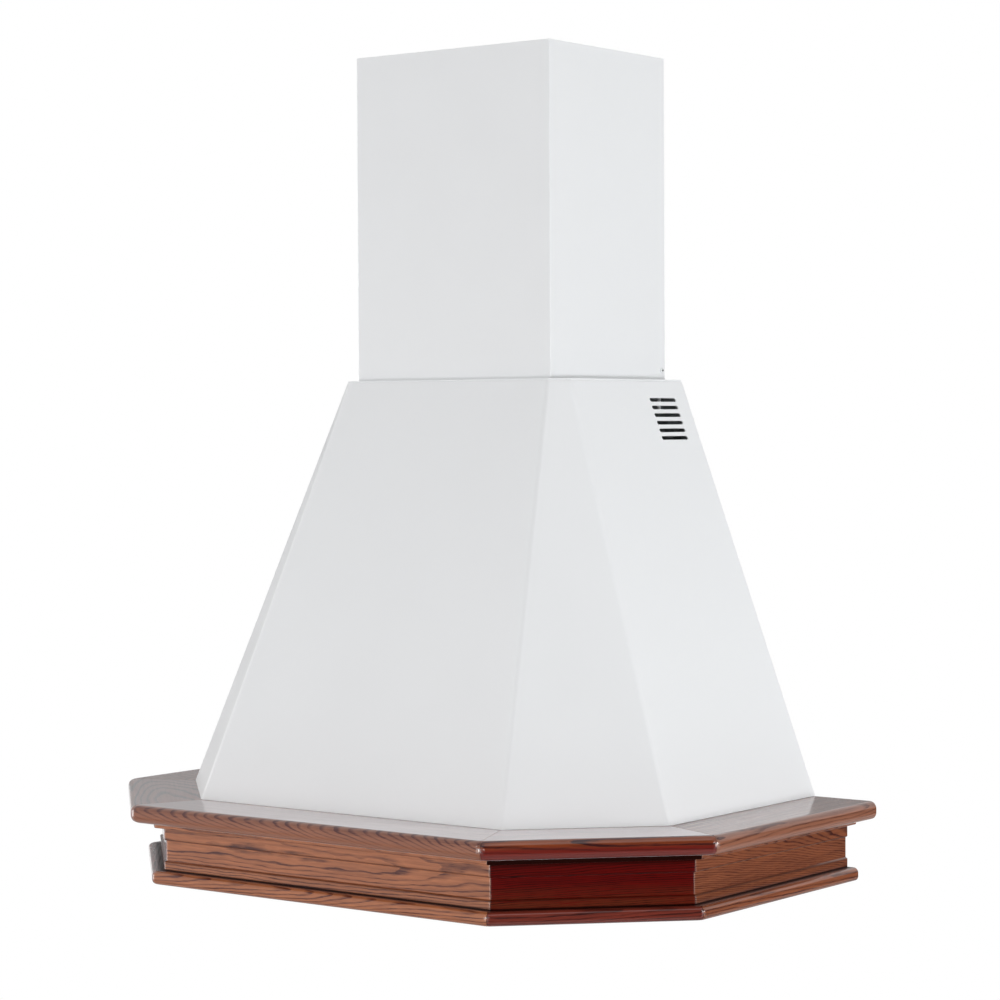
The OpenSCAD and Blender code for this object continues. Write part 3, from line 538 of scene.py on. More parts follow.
# %% Cuts and colours
CUTS = {
    "shelf": {"Pith": (0.2, 0.12, -0.02), "Lean": (0, 0.03, -0.20), "Ring": 0.0032, "Sway": 0.012},
    "frieze": {"Pith": (0.4, 0.074, 0.064), "Lean": (0, 0.010, 0.008), "Ring": 0.0022, "Sway": 0.007},
    "fine": {"Pith": (0.1, 0.055, 0.105), "Lean": (0, 0.04, 0.10), "Ring": 0.0020, "Sway": 0.006},
    "rail": {"Pith": (0.3, 0.07, -0.05), "Lean": (0, -0.04, 0.05), "Ring": 0.0030, "Sway": 0.010},
    "wide": {"Pith": (0.15, 0.05, 0.052), "Lean": (0, 0.06, 0.12), "Ring": 0.0062, "Sway": 0.026},
}
SWING = {
    "shelf": (1, 1, 1, 0.10, -0.16), "frieze": (1, -0.7, 1, 0.35, -1), "rail": (1, 1, 1, 0.3, -0.3)}
PITH_STEP = (0, 0.006, -0.004)
# Light and dark colour of each board kind: lit and shaded copies of one stain, corner boards as painted
# shade
WOODS = {
    "front": ((0.50, 0.177, 0.074, 1), (0.060, 0.004, 0.001, 1)),
    "front_shelf": ((0.32, 0.115, 0.058, 1), (0.060, 0.004, 0.002, 1)),
    "side_shelf": ((0.33, 0.130, 0.075, 1), (0.060, 0.010, 0.004, 1)),
    "side": ((0.30, 0.093, 0.040, 1), (0.045, 0.004, 0.001, 1)),
    "corner_shelf": ((0.17, 0.012, 0.006, 1), (0.030, 0.001, 0.001, 1)),
    "corner_frieze": ((0.135, 0.003, 0.002, 1), (0.022, 0.001, 0.001, 1)),
    "corner_rail": ((0.21, 0.034, 0.020, 1), (0.035, 0.002, 0.001, 1)),
}
# Painted light on the top of a corner shelf's rounded edge, and a lighter colour low on the corner
# frieze
LIT_EDGE_COLOUR = (0.32, 0.070, 0.016, 1)
LOW_FRIEZE_COLOUR = (0.21, 0.042, 0.014, 1)
HAZE = (0.96, 0.97, 1.0, 1)
DUST = {
    "shelf": (0.25, 0.4, 0.75, 0.75, 0.13), "frieze": (0, 0, 0, 0, 0), "rail": (0.7, 0, 0, 0, 0)}
# Painted shade where boards meet, at the sunk band's edges and under the corner's step
SHADE_COLOUR = (0.016, 0.002, 0.001, 1)
print("stains:", len(WOODS))


# %% Painted light and shade on the boards
def edge_light_and_shade(tree, tone, height):
    """Rounded shelf edge: painted light low down, weaker grain, and painted shade at the top."""
    lit_low = spread(tree, height, shelf_z + 6 * MM, shelf_z + 14 * MM, 0.45, 1.0)
    darker = spread(tree, height, shelf_top - 9 * MM, shelf_top - 3 * MM, 0.0, 0.22)
    return calc(tree, "ADD", calc(tree, "MULTIPLY", tone, lit_low), darker)


def corner_light_colour(tree, layer, light, height, gloss):
    """A corner board's hard-wood colour: painted light atop the shelf edge, the frieze lighter low
    down.
    """
    if layer == "shelf":
        lit_edge = spread(tree, height, shelf_z + 11 * MM, shelf_top - 4 * MM)
        return blended(tree, lit_edge, light, LIT_EDGE_COLOUR)
    if layer == "frieze":
        low_down = spread(tree, height, 44 * MM, 18 * MM)
        lighter_low = calc(tree, "MULTIPLY", low_down, spread(tree, gloss, 0.35, 0.70))
        return blended(tree, lighter_low, light, LOW_FRIEZE_COLOUR)
    return light


def painted_shade_mask(tree, kind, layer, height, inwards):
    """Painted shade: rail's inner top, the frieze's foot and band edges, and below the corner step."""
    if layer == "rail":
        on_top = spread(tree, height, rail_top - 1.5 * MM, rail_top - 0.5 * MM)
        return calc(tree, "MULTIPLY", spread(tree, inwards, 31 * MM, 36 * MM), on_top)
    places = [spread(tree, height, rail_top + 2.5 * MM, rail_top + 0.6 * MM)]
    for z in (band_low, band_high):
        away = calc(tree, "ABSOLUTE", calc(tree, "SUBTRACT", height, z))
        places.append(spread(tree, away, 1.6 * MM, 0.4 * MM, 0, 0.45))
    if kind == "corner":
        places.append(spread(tree, height, step_z - 6 * MM, step_z))
    return greatest(tree, *places)


# %% Stain for one board
def cut_of(i, layer):
    """How board i was sawn from its log."""
    if layer == "shelf" and i < 2:
        return CUTS["wide"]
    if layer == "frieze" and i > 2:
        return CUTS["fine"]
    return CUTS[layer]


def stain(i, layer):
    """Lacquered wood whose grain runs along board i of a layer, with a pith of its own."""
    kind = SIDES[i].split("_")[-1]
    sawn = cut_of(i, layer)
    pith = tuple(at + i * step for at, step in zip(sawn["Pith"], PITH_STEP))
    lean = tuple(SWING[layer][i] * share for share in sawn["Lean"])
    lacquer = 0.88 if (layer, i) == ("shelf", 4) else 1.0
    under_gloss = 0.04 if (layer, kind) == ("frieze", "corner") else 0.15
    material, tree, shader, where = new_finish(
        f"stained_{layer}_{SIDES[i]}", Coat_Weight=lacquer, Coat_IOR=1.42, Coat_Roughness=0.10,
        Specular_IOR_Level=under_gloss, Sheen_Weight=DUST[layer][i], Sheen_Roughness=0.22,
        Sheen_Tint=HAZE)
    wood = use_group(tree, grain, {
        "Vector": where, "Corner": corner_points[i], "Turn": turns[i], "Pith": pith, "Lean": lean,
        "Ring": sawn["Ring"], "Sway": sawn["Sway"], "Seed": 3.7 * i + 11 * len(layer)})
    light, dark = WOODS.get(f"{kind}_{layer}") or WOODS[kind]
    tone = spread(tree, wood["Tone"], -0.10, 1.0)
    height = axes_of(tree, where)[2]
    # Painted light and shade on the shelf's rounded edge
    if layer == "shelf":
        tone = edge_light_and_shade(tree, tone, height)
    # Corner boards: painted light on the shelf edge's top, and a frieze lighter low down
    if kind == "corner":
        light = corner_light_colour(tree, layer, light, height, wood["Gloss"])
    base = blended(tree, tone, light, dark)
    # Painted shade, where the lacquer's coat is taken away too
    if layer != "shelf":
        shade_share = painted_shade_mask(tree, kind, layer, height, wood["Inwards"])
        base = blended(tree, shade_share, base, SHADE_COLOUR)
        tree.links.new(calc(tree, "SUBTRACT", 1.0, shade_share), shader.inputs["Coat Weight"])
    tree.links.new(base, shader.inputs["Base Color"])
    tree.links.new(spread(tree, wood["Gloss"], 0.3, 1.2, 0.28, 0.44), shader.inputs["Roughness"])
    bump(tree, shader, wood["Height"], 0.10 * MM, 0.8)
    return material


# %% [markdown]
# ### Sawing and laying
#
# The mitres are sawn off a copy of the moulding, which keeps the section the same on every board. The
# outer corner at a mitre is worn round: the board is sliced thinly beside the cut, and each slice
# slides back along it, further toward the tip. A rotation then lays the board along its side.


# %% Saw the mitres and lay a board in place
def round_mitre(board, tip, outwards, turn_r, front_y, steps=5):
    """Rounds the outer corner at one mitre: thin slices beside the cut slide back along it."""
    normal = Vector((outwards * math.cos(half_turn), math.sin(half_turn), 0))
    inward = Vector((-outwards * math.sin(half_turn), math.cos(half_turn), 0))
    reach = turn_r * mitre
    places = [tip.x - outwards * reach * (1 - k / steps) for k in range(1, steps)]
    for x in places:
        cut(board, (x, front_y, 0), normal, keep_both=True)
    for k in range(1, steps + 1):
        at = Vector((tip.x - outwards * reach * (1 - k / steps), front_y, 0))
        beyond = reach * k / steps
        arm = beyond * math.sin(half_turn) + turn_r * math.cos(half_turn)
        slide = arm - math.sqrt(arm * arm - beyond * beyond)
        pick(board, "VERT", lambda v: near((v.co - at).dot(normal), 0, 0.02 * MM))
        move(inward * slide)


def lay_board(stock, i, layer, turn_r):
    """Copies a moulding, saws board i from it, rounds the mitred corners and moves it to its place."""
    length = runs[i].length
    only(stock)
    bpy.ops.object.duplicate()
    board = bpy.context.active_object
    board.name = f"{layer}_board_{SIDES[i]}"
    square = Vector((1, 0, 0))
    ends = [Vector((-1, mitre, 0)) if i > 0 else -square, Vector((1, mitre, 0)) if i < 4 else square]
    front_y = min(v.co.y for v in board.data.vertices)
    starts, stops = mitre_gap + front_y * mitre, length - mitre_gap - front_y * mitre
    with editing(board):
        cut(board, (mitre_gap if i > 0 else 0, 0, 0), ends[0])
        cut(board, (length - (mitre_gap if i < 4 else 0), 0, 0), ends[1])
        if i > 0:
            round_mitre(board, Vector((starts, front_y, 0)), -1, turn_r, front_y)
        if i < 4:
            round_mitre(board, Vector((stops, front_y, 0)), 1, turn_r, front_y)
        flat_ends = [end.normalized() for end in ends]
        pick(board, "EDGE", lambda e: len(e.link_faces) == 2 and sum(
            any((f.normal - n).length < 0.01 for n in flat_ends) for f in e.link_faces) == 1)
        bevel(sawn_bevel, 1)
    board.rotation_euler.z = turns[i]
    board.location = corner_points[i]
    settle(board)
    smooth(board)
    paint(board, stain(i, layer))
    return stands_for(board, f"{layer}_{SIDES[i]}")


def saw_layer(stock, layer, turn_r):
    """Saws the five boards of a layer from one moulding, which is then used up."""
    for i in range(len(runs)):
        lay_board(stock, i, layer, turn_r)
    bpy.data.objects.remove(stock)
    print(layer, "boards:", len(runs))


longest = max(run.length for run in runs)
over = 5 * MM

# %% Shelf boards
shelf_board = 105 * MM
shelf_round = 9 * MM
arris = 0.6 * MM
stock = block("shelf_moulding", (-over, 0, shelf_z), (longest + over, shelf_board, shelf_top))
with editing(stock):
    pick(stock, "EDGE", lambda e: along(e, 0) and near(middle(e).y, 0))
    bevel(shelf_round, 8)
    pick(stock, "EDGE", lambda e: along(e, 0) and near(middle(e).y, shelf_board))
    bevel(arris, 1)
saw_layer(stock, "shelf", 18 * MM)

# %% Rail boards
rail_set = 25 * MM
rail_board = 42 * MM
rail_round = 6 * MM
stock = block("rail_moulding", (-over, rail_set, 0), (longest + over, rail_set + rail_board, rail_top))
with editing(stock):
    pick(stock, "EDGE", lambda e: along(e, 0) and near(middle(e).y, rail_set))
    bevel(rail_round, 7)
    pick(stock, "EDGE", lambda e: along(e, 0) and near(middle(e).y, rail_set + rail_board))
    bevel(arris, 1)
saw_layer(stock, "rail", 12 * MM)

# %% [markdown]
# ### The frieze
#
# The frieze is one board with a step under the shelf and a sunk band along its middle. The step and
# the band come from cuts along the front face: the faces between the cuts are then pushed out or in.
# This is how a moulding is drawn in section, and it keeps every line straight and parallel.

# %% Frieze boards
frieze_set = 40 * MM
frieze_in = 58 * MM
step_set = 28 * MM
band_slope = 1.5 * MM
band_depth = 2.5 * MM
band_arris = 0.3 * MM
stock = block("frieze_moulding", (-over, frieze_set, rail_top), (longest + over, frieze_in, shelf_z))
with editing(stock):
    for z in (band_low, band_low + band_slope, band_high - band_slope, band_high, step_z):
        cut(stock, (0, 0, z), (0, 0, 1), keep_both=True)
    pick(stock, "FACE", lambda f: f.normal.y < -0.99 and near(middle(f).z, (band_low + band_high) / 2))
    move((0, band_depth, 0))
    pick(stock, "FACE", lambda f: f.normal.y < -0.99 and middle(f).z > step_z)
    bpy.ops.mesh.extrude_region_move(TRANSFORM_OT_translate={"value": (0, step_set - frieze_set, 0)})
    pick(stock, "EDGE", lambda e: along(e, 0) and near(middle(e).y, step_set)
         and near(middle(e).z, step_z))
    bevel(band_slope, 4)
    pick(stock, "EDGE", lambda e: along(e, 0) and near(middle(e).y, frieze_set)
         and min(abs(middle(e).z - band_low), abs(middle(e).z - band_high)) < 0.1 * MM)
    bevel(band_arris, 2)
saw_layer(stock, "frieze", 5 * MM)

# %% [markdown]
# ## The canopy
#
# The canopy is one steel sheet with five faces: front, two sloping corners and two sides. Five cuts
# through a box give exactly these planes. The box then loses its back, the foot and top are turned
# in as narrow flanges, the folds are rounded, and the sheet gets its real thickness inwards.

# %% Size and slope of the canopy
sheet_t = 1.2 * MM
flange_w = 15 * MM
foot_set = 85 * MM
foot_z, head_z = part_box("canopy_shell")[0].z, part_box("canopy_shell")[1].z
foot_half, foot_d = half_w - foot_set, depth - foot_set
head_half, head_d = 173 * MM, 257 * MM
foot_cut = corner_cut - foot_set * (2 - math.sqrt(2))
head_cut = 20 * MM
canopy_h = head_z - foot_z
canopy = block("canopy", (-foot_half, -foot_d, foot_z), (foot_half, 0, head_z))
corner_slope = (foot_half + foot_d - foot_cut - head_half - head_d + head_cut) / canopy_h
side_slope = (foot_half - head_half) / canopy_h
front_slope = (foot_d - head_d) / canopy_h
print("canopy slopes", round(front_slope, 3), round(side_slope, 3), round(corner_slope, 3))

# %% Fold the canopy
fold_r, flange_r = 4 * MM, 1 * MM
with editing(canopy):
    cut(canopy, (0, -foot_d, foot_z), (0, -1, front_slope))
    for side in HANDS.values():
        cut(canopy, (side * foot_half, 0, foot_z), (side, 0, side_slope))
        cut(canopy, (side * foot_half, foot_cut - foot_d, foot_z), (side, -1, corner_slope))
    pick(canopy, "FACE", lambda f: f.normal.y > 0.99)
    bpy.ops.mesh.delete(type="FACE")
    for sign in (-1, 1):
        pick(canopy, "FACE", lambda f: f.normal.z * sign > 0.99)
        bpy.ops.mesh.inset(thickness=flange_w, use_boundary=False)
        bpy.ops.mesh.delete(type="FACE")
    pick(canopy, "EDGE", lambda e: len(e.link_faces) == 2 and e.calc_face_angle() > 0.1
         and foot_z + 1 * MM < middle(e).z < head_z - 1 * MM)
    bevel(fold_r, 5)
    pick(canopy, "EDGE", lambda e: len(e.link_faces) == 2 and e.calc_face_angle() > 0.9)
    bevel(flange_r, 3)
    bpy.ops.mesh.select_all(action="SELECT")
    bpy.ops.mesh.normals_make_consistent(inside=False)
# The inner faces take the near-black lining, painted shade seen through the slots
canopy.data.materials.append(enamel)
canopy.data.materials.append(shade_lining)
apply_modifier(canopy, "SOLIDIFY", thickness=sheet_t, offset=-1, use_even_offset=True,
               material_offset=1)
print("canopy faces", len(canopy.data.polygons))

# %% [markdown]
# ### Vent slots
#
# Six slots a side let the blower's motor breathe. They are punched through the sloping side near the
# wall. A punch leaves rounded ends, so each cutter is a bar with its corners rounded, and one
# Boolean cuts all twelve.

# %% Punch the vent slots
slot_len, slot_h, slot_pitch, slot_count = 57 * MM, 5 * MM, 10 * MM, 6
slot_from_wall, slot_drop, punch_reach = 27 * MM, 25 * MM, 10 * MM
side_lean = math.atan(side_slope)
punches = []
for side in HANDS.values():
    for k in range(slot_count):
        down = slot_drop + k * slot_pitch
        punch = block("punch", (-punch_reach, -slot_from_wall - slot_len, -down - slot_h / 2),
                      (punch_reach, -slot_from_wall, -down + slot_h / 2))
        with editing(punch):
            pick(punch, "EDGE", lambda e: along(e, 0))
            bevel(0.49 * slot_h, 5)
        punch.data.materials.append(enamel)
        punch.rotation_euler.y = -side * side_lean
        punch.location = (side * head_half, 0, head_z)
        settle(punch)
        punches.append(punch)
punch = join("punches", punches)
apply_modifier(canopy, "BOOLEAN", object=punch, operation="DIFFERENCE", solver="EXACT")
bpy.data.objects.remove(punch)
smooth(canopy)
stands_for(canopy, "canopy_shell")
print("canopy with", 2 * slot_count, "slots:", len(canopy.data.polygons), "faces")

# %% [markdown]
# ## The chimney
#
# The chimney is folded from one sheet: front, two sides, and two narrow lips turned in at the wall.
# It starts as a box without its ends. The back is cut open between the lips, the folds are rounded,
# and the sheet gets its thickness inwards.

# %% Fold the chimney
low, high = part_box("chimney_cover")
lip, chimney_fold_r = 12 * MM, 1.6 * MM
chimney = block("chimney", low, high)
with editing(chimney):
    for side in HANDS.values():
        cut(chimney, (side * (high.x - lip), 0, 0), (1, 0, 0), keep_both=True)
    pick(chimney, "FACE", lambda f: abs(f.normal.z) > 0.99
         or (f.normal.y > 0.99 and abs(middle(f).x) < high.x - lip))
    bpy.ops.mesh.delete(type="FACE")
    pick(chimney, "EDGE", lambda e: along(e, 2) and near(abs(middle(e).x), high.x))
    bevel(chimney_fold_r, 4)
apply_modifier(chimney, "SOLIDIFY", thickness=sheet_t, offset=-1, use_even_offset=True)
smooth(chimney)
paint(chimney, enamel)
stands_for(chimney, "chimney_cover")
print("chimney faces", len(chimney.data.polygons))

# %% [markdown]
# ## Metal, plastic and glass
#
# Zinc coated sheet shows crystals, rolled aluminium shows fine streaks, and moulded plastic is nearly
# even. Each gets its own colour, sheen and pattern from the same recipe.

# %% Finishes for metal, plastic and glass
# Paler zinc for the bolts behind the slots: passivated, and made lighter than the other zinc as painted
# light
lightened_zinc = coated("lightened_zinc", (0.80, 0.81, 0.82), 0.55, tint=0.05, Metallic=0.2)
FINISH_OF = {
    "white_enamel": enamel,
    "zinc_steel": coated("galvanised_steel", (0.62, 0.64, 0.65), 0.42, 160.0, tint=0.30,
                         pattern=spangle, Metallic=1.0),
    "bright_steel": coated("bright_zinc", (0.64, 0.65, 0.66), 0.40, tint=0.08, Metallic=1.0),
    "aluminium": coated("satin_aluminium", (0.76, 0.77, 0.78), 0.36, 900.0, tint=0.16,
                        pattern=brushed, Metallic=1.0),
    "mesh_aluminium": coated("mesh_aluminium", (0.66, 0.67, 0.68), 0.38, tint=0.12, Metallic=1.0),
    "black_plastic": coated("black_plastic", (0.030, 0.030, 0.032), 0.42),
    "brown_plastic": coated("brown_plastic", (0.070, 0.028, 0.016), 0.33),
    "ivory_plastic": coated("ivory_plastic", (0.74, 0.71, 0.63), 0.32, tint=0.02),
    "fan_plastic": coated("fan_plastic", (0.085, 0.087, 0.092), 0.5),
    "pale_plastic": coated("pale_plastic", (0.66, 0.66, 0.65), 0.45, tint=0.03),
    "motor_paint": coated("motor_paint", (0.05, 0.05, 0.055), 0.45),
    "plain_wood": coated("bare_softwood", (0.50, 0.33, 0.18), 0.6, tint=0.25, pattern=brushed),
    "frosted_glass": coated("frosted_glass", (0.93, 0.93, 0.91), 0.35, tint=0.02,
                            Transmission_Weight=0.55),
    "bulb_glass": coated("pearl_glass", (0.95, 0.93, 0.88), 0.22, tint=0.02,
                         Transmission_Weight=0.35),
}
print("finishes:", len(FINISH_OF))

# %% [markdown]
# ## Grease filters
#
# Each filter is an aluminium frame round layers of expanded metal: a sheet that is slit and then
# pulled until the slits open to diamonds. Its strands run in a zigzag, so one strand is bent from a
# thin bar by moving every second cut sideways. Two mirrored strands make a row of diamonds, and an
# array repeats the row. Two layers, half a diamond apart, give the deep look of a real filter.

# %% Weave a field of diamonds
CELL_L, CELL_W = 9 * MM, 4.65 * MM
STRAND_W, STRAND_T = 0.75 * MM, 0.9 * MM


def copied(piece, name, by=(0, 0, 0)):
    """A copy with its own mesh, moved by a distance."""
    only(piece)
    bpy.ops.object.duplicate()
    twin = bpy.context.active_object
    twin.name = name
    twin.location = by
    settle(twin)
    return twin


def diamonds(low, high, z, phase, fewer=0):
    """Expanded metal between two corners, some rows short. Phase 1 shifts it by half a diamond."""
    rows = round((high[1] - low[1]) / CELL_W)
    pitch = (high[1] - low[1]) / rows
    first = low[1] + phase * pitch / 2
    steps = 2 * round((high[0] - low[0]) / CELL_L)
    step = (high[0] - low[0]) / steps
    strand = block("strand", (low[0], first, z), (high[0], first + STRAND_W, z + STRAND_T))
    with editing(strand):
        pick(strand, "EDGE", lambda e: along(e, 0))
        bpy.ops.mesh.subdivide(number_cuts=steps - 1)
        pick(strand, "VERT", lambda v: round((v.co.x - low[0]) / step) % 2 != phase)
        move((0, pitch / 2 - STRAND_W, 0))
    mirrored = copied(strand, "mirrored_strand")
    with editing(mirrored):
        bpy.ops.mesh.select_all(action="SELECT")
        bpy.ops.transform.resize(value=(1, -1, 1), center_override=(0, first + pitch / 2, 0))
        bpy.ops.mesh.normals_make_consistent(inside=False)
    row = join("row_of_diamonds", [strand, mirrored])
    apply_modifier(row, "ARRAY", count=rows - fewer, use_relative_offset=False,
                   use_constant_offset=True, constant_offset_displace=(0, pitch, 0))
    return row


# %% Fill both filters
low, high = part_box("filter_mesh_left")
beside, latch_half_w, latch_room = 0.2 * MM, 32 * MM, 40 * MM
lower_layer, upper_layer = 0.5 * MM, 3.6 * MM
block_half = latch_half_w + beside
block_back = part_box("filter_frame_left")[0].y + latch_room + beside
centre_x = (low.x + high.x) / 2
fields = []
for z, phase in ((low.z + lower_layer, 0), (low.z + upper_layer, 1)):
    fields.append(diamonds((low.x, block_back), (high.x, high.y), z, phase, phase))
    fields.append(diamonds((low.x, low.y), (centre_x - block_half, block_back), z, phase))
    fields.append(diamonds((centre_x + block_half, low.y), (high.x, block_back), z, phase))
filter_mesh = paint(join("filter_mesh_woven_left", fields), FINISH_OF["mesh_aluminium"])
other_mesh = copied(filter_mesh, "filter_mesh_woven_right", (-2 * centre_x, 0, 0))
stands_for(filter_mesh, "filter_mesh_left")
stands_for(other_mesh, "filter_mesh_right")
print("filter mesh faces", len(filter_mesh.data.polygons))

# %% [markdown]
# ## Push buttons
#
# The five buttons are moulded caps with rounded corners and a dished face for the fingertip, and
# each carries a raised mark: a bar for off, one to three dots for the speeds and a ring for the
# lamp. One cap is shaped from a box by bevels, and its face is drawn in by four narrower steps.

# %% Shape one cap
CAP_CORNER, CAP_EDGE, DISH_DEPTH = 2.5 * MM, 0.6 * MM, 0.75 * MM
DISH_STEPS = ((0.90, 0.0), (0.82, 0.30 * MM), (0.75, 0.25 * MM), (0.60, 0.20 * MM))
low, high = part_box("button_off")
cap_middle = (low + high) / 2
cap = block("button_cap", low, high)
with editing(cap):
    pick(cap, "EDGE", lambda e: along(e, 2))
    bevel(CAP_CORNER, 5)
    pick(cap, "EDGE", lambda e: near(middle(e).z, low.z))
    bevel(CAP_EDGE, 3)
    for share, deeper in DISH_STEPS:
        pick(cap, "FACE", lambda f: f.normal.z < -0.99 and len(f.verts) > 8)
        bpy.ops.mesh.extrude_region()
        bpy.ops.transform.resize(value=(share, share, 1), center_override=cap_middle)
        move((0, 0, deeper))
smooth(cap, 50)
print("cap faces", len(cap.data.polygons))


# %% Raised marks
DISH_Z = low.z + DISH_DEPTH
MARK_ROOT, MARK_FACE, DOT_FACE = DISH_Z + 0.2 * MM, DISH_Z - 0.4 * MM, DISH_Z - 0.35 * MM
DOT_R, DOT_PITCH, DOT_RIM, DOT_CROWN = 1.1 * MM, 3.4 * MM, 0.3 * MM, 0.15 * MM
RING_R, RING_W, RING_DEPTH = 2.6 * MM, 0.8 * MM, 0.35 * MM
BAR_HALF_L, BAR_HALF_W, BAR_CORNER = 3 * MM, 0.6 * MM, 0.55 * MM


def round_mark(x, y, face_z, r, sides, rim, up):
    """A round mark with a rim, whose middle is moved up to make a ring or down for a domed dot."""
    made = rod("mark", (x, y, MARK_ROOT), (x, y, face_z), r, sides)
    with editing(made):
        pick(made, "FACE", lambda f: f.normal.z < -0.9)
        bpy.ops.mesh.inset(thickness=rim)
        move((0, 0, up))
    return made


def bar_mark(x, y):
    """A bar with rounded ends."""
    made = block("mark", (x - BAR_HALF_L, y - BAR_HALF_W, MARK_FACE),
                 (x + BAR_HALF_L, y + BAR_HALF_W, MARK_ROOT))
    with editing(made):
        pick(made, "EDGE", lambda e: along(e, 2))
        bevel(BAR_CORNER, 4)
    return made


def marks_for(node, x, y):
    """The raised marks on one button."""
    if node == "button_off":
        return [bar_mark(x, y)]
    if node == "button_light":
        return [round_mark(x, y, MARK_FACE, RING_R, 32, RING_W, RING_DEPTH)]
    count = int(node[-1])
    places = [x + (k - (count - 1) / 2) * DOT_PITCH for k in range(count)]
    return [round_mark(place, y, DOT_FACE, DOT_R, 20, DOT_RIM, -DOT_CROWN) for place in places]


# %% Copy the cap and mark each copy
BUTTONS = ["button_off", "button_speed_1", "button_speed_2", "button_speed_3", "button_light"]
for node in BUTTONS:
    at = (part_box(node)[0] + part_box(node)[1]) / 2
    made = copied(cap, node + "_cap", (at.x - cap_middle.x, 0, 0))
    marks = [paint(mark, FINISH_OF["brown_plastic"]) for mark in marks_for(node, at.x, at.y)]
    stands_for(join(made.name, [paint(made, FINISH_OF["ivory_plastic"])] + marks), node)
bpy.data.objects.remove(cap)
print("buttons:", len(BUTTONS))

# %% [markdown]
# ## Lamp lenses
#
# A pressed glass lens has shallow rings that spread the light. Each ring is one inset of the lower
# face, moved up or down a little, which is how a lens is drawn in section.

# %% Press the lenses
rim_w, ring_w, ring_h, ring_count, bull_w = 4.5 * MM, 1.5 * MM, 0.6 * MM, 7, 3 * MM
for hand in HANDS:
    low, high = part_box(f"lamp_lens_{hand}")
    centre, lens_r = (low + high) / 2, (high.x - low.x) / 2
    lens = rod(f"lens_{hand}", (centre.x, centre.y, low.z), (centre.x, centre.y, high.z), lens_r, 64)
    with editing(lens):
        pick(lens, "FACE", lambda f: f.normal.z < -0.99)
        bpy.ops.mesh.inset(thickness=rim_w)
        for ring in range(ring_count):
            move((0, 0, (-1) ** ring * ring_h))
            bpy.ops.mesh.inset(thickness=ring_w)
        bpy.ops.mesh.inset(thickness=bull_w)
    smooth(lens, 20)
    stands_for(paint(lens, FINISH_OF["frosted_glass"]), f"lamp_lens_{hand}")
print("lenses:", len(HANDS))

# %% [markdown]
# ## Screws
#
# Thirty-four pan-head screws hold the hood together. One is turned from a rod with a domed head and a
# cross recess, cut with a Boolean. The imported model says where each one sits: its screws are taken
# apart, and a copy of the finished screw is laid on each.

# %% Turn one screw
HEAD_R, HEAD_H, SHANK_R, STUB, DOME = 3.4 * MM, 1.8 * MM, 1.6 * MM, 1 * MM, 1.3 * MM
ARM, ARM_HALF_W, RECESS_FLOOR, RECESS_TOP = 2.1 * MM, 0.55 * MM, 0.4 * MM, 3 * MM
# Near-black paint for the cross recess: painted shade in the recess
recess = coated("recess_shade_paint", (0.02, 0.02, 0.02), 0.6)
screw = rod("screw", (0, 0, 0), (0, 0, HEAD_H), HEAD_R, 28)
with editing(screw):
    pick(screw, "EDGE", lambda e: near(middle(e).z, HEAD_H) and len(e.link_faces) == 2)
    bevel(DOME, 5)
    pick(screw, "FACE", lambda f: f.normal.z < -0.99)
    bpy.ops.mesh.inset(thickness=HEAD_R - SHANK_R)
    move((0, 0, -STUB))
arms = [block("cross", (-a, -b, RECESS_FLOOR), (a, b, RECESS_TOP))
        for a, b in ((ARM, ARM_HALF_W), (ARM_HALF_W, ARM))]
cross = paint(join("cross", arms), recess)
paint(screw, FINISH_OF["bright_steel"])
apply_modifier(screw, "BOOLEAN", object=cross, operation="DIFFERENCE", solver="EXACT",
               use_self=True, material_mode="TRANSFER")
bpy.data.objects.remove(cross)
smooth(screw, 40)
print("screw faces", len(screw.data.polygons))


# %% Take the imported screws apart
def packed_copy(node, name):
    """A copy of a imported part, with a mesh of its own."""
    piece = bpy.data.objects.new(name, frame["nodes"][node].data.copy())
    bpy.context.scene.collection.objects.link(piece)
    return piece


def merge():
    """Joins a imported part's loose triangles to a closed mesh, in edit mode."""
    bpy.ops.mesh.select_all(action="SELECT")
    bpy.ops.mesh.remove_doubles(threshold=0.002 * MM)


def islands(node):
    """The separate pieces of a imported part, each as a list of its points."""
    with editing(packed_copy(node, "apart")):
        merge()
        bpy.ops.mesh.separate(type="LOOSE")
    pieces = [o for o in bpy.context.scene.objects if o.name.startswith("apart")]
    points = [[v.co.copy() for v in o.data.vertices] for o in pieces]
    for o in pieces:
        bpy.data.objects.remove(o)
    return points


AXES = [Vector(a).normalized() for a in ((1, 0, 0), (0, 1, 0), (0, 0, 1), (1, 1, 0), (1, -1, 0))]


def seat_of(points):
    """The middle of a screw's seat, the way its head points, and its shank's length."""
    centre = sum(points, Vector()) / len(points)
    offsets = [point - centre for point in points]
    axis = min(AXES, key=lambda a: max((o - a * o.dot(a)).length for o in offsets))
    rims = [o.dot(axis) for o in offsets if (o - axis * o.dot(axis)).length > (HEAD_R + SHANK_R) / 2]
    ends = [o.dot(axis) for o in offsets]
    if abs(max(rims) - max(ends)) > 0.1 * MM:
        axis, rims, ends = -axis, [-r for r in rims], [-e for e in ends]
    return centre + axis * min(rims), axis, min(rims) - min(ends)


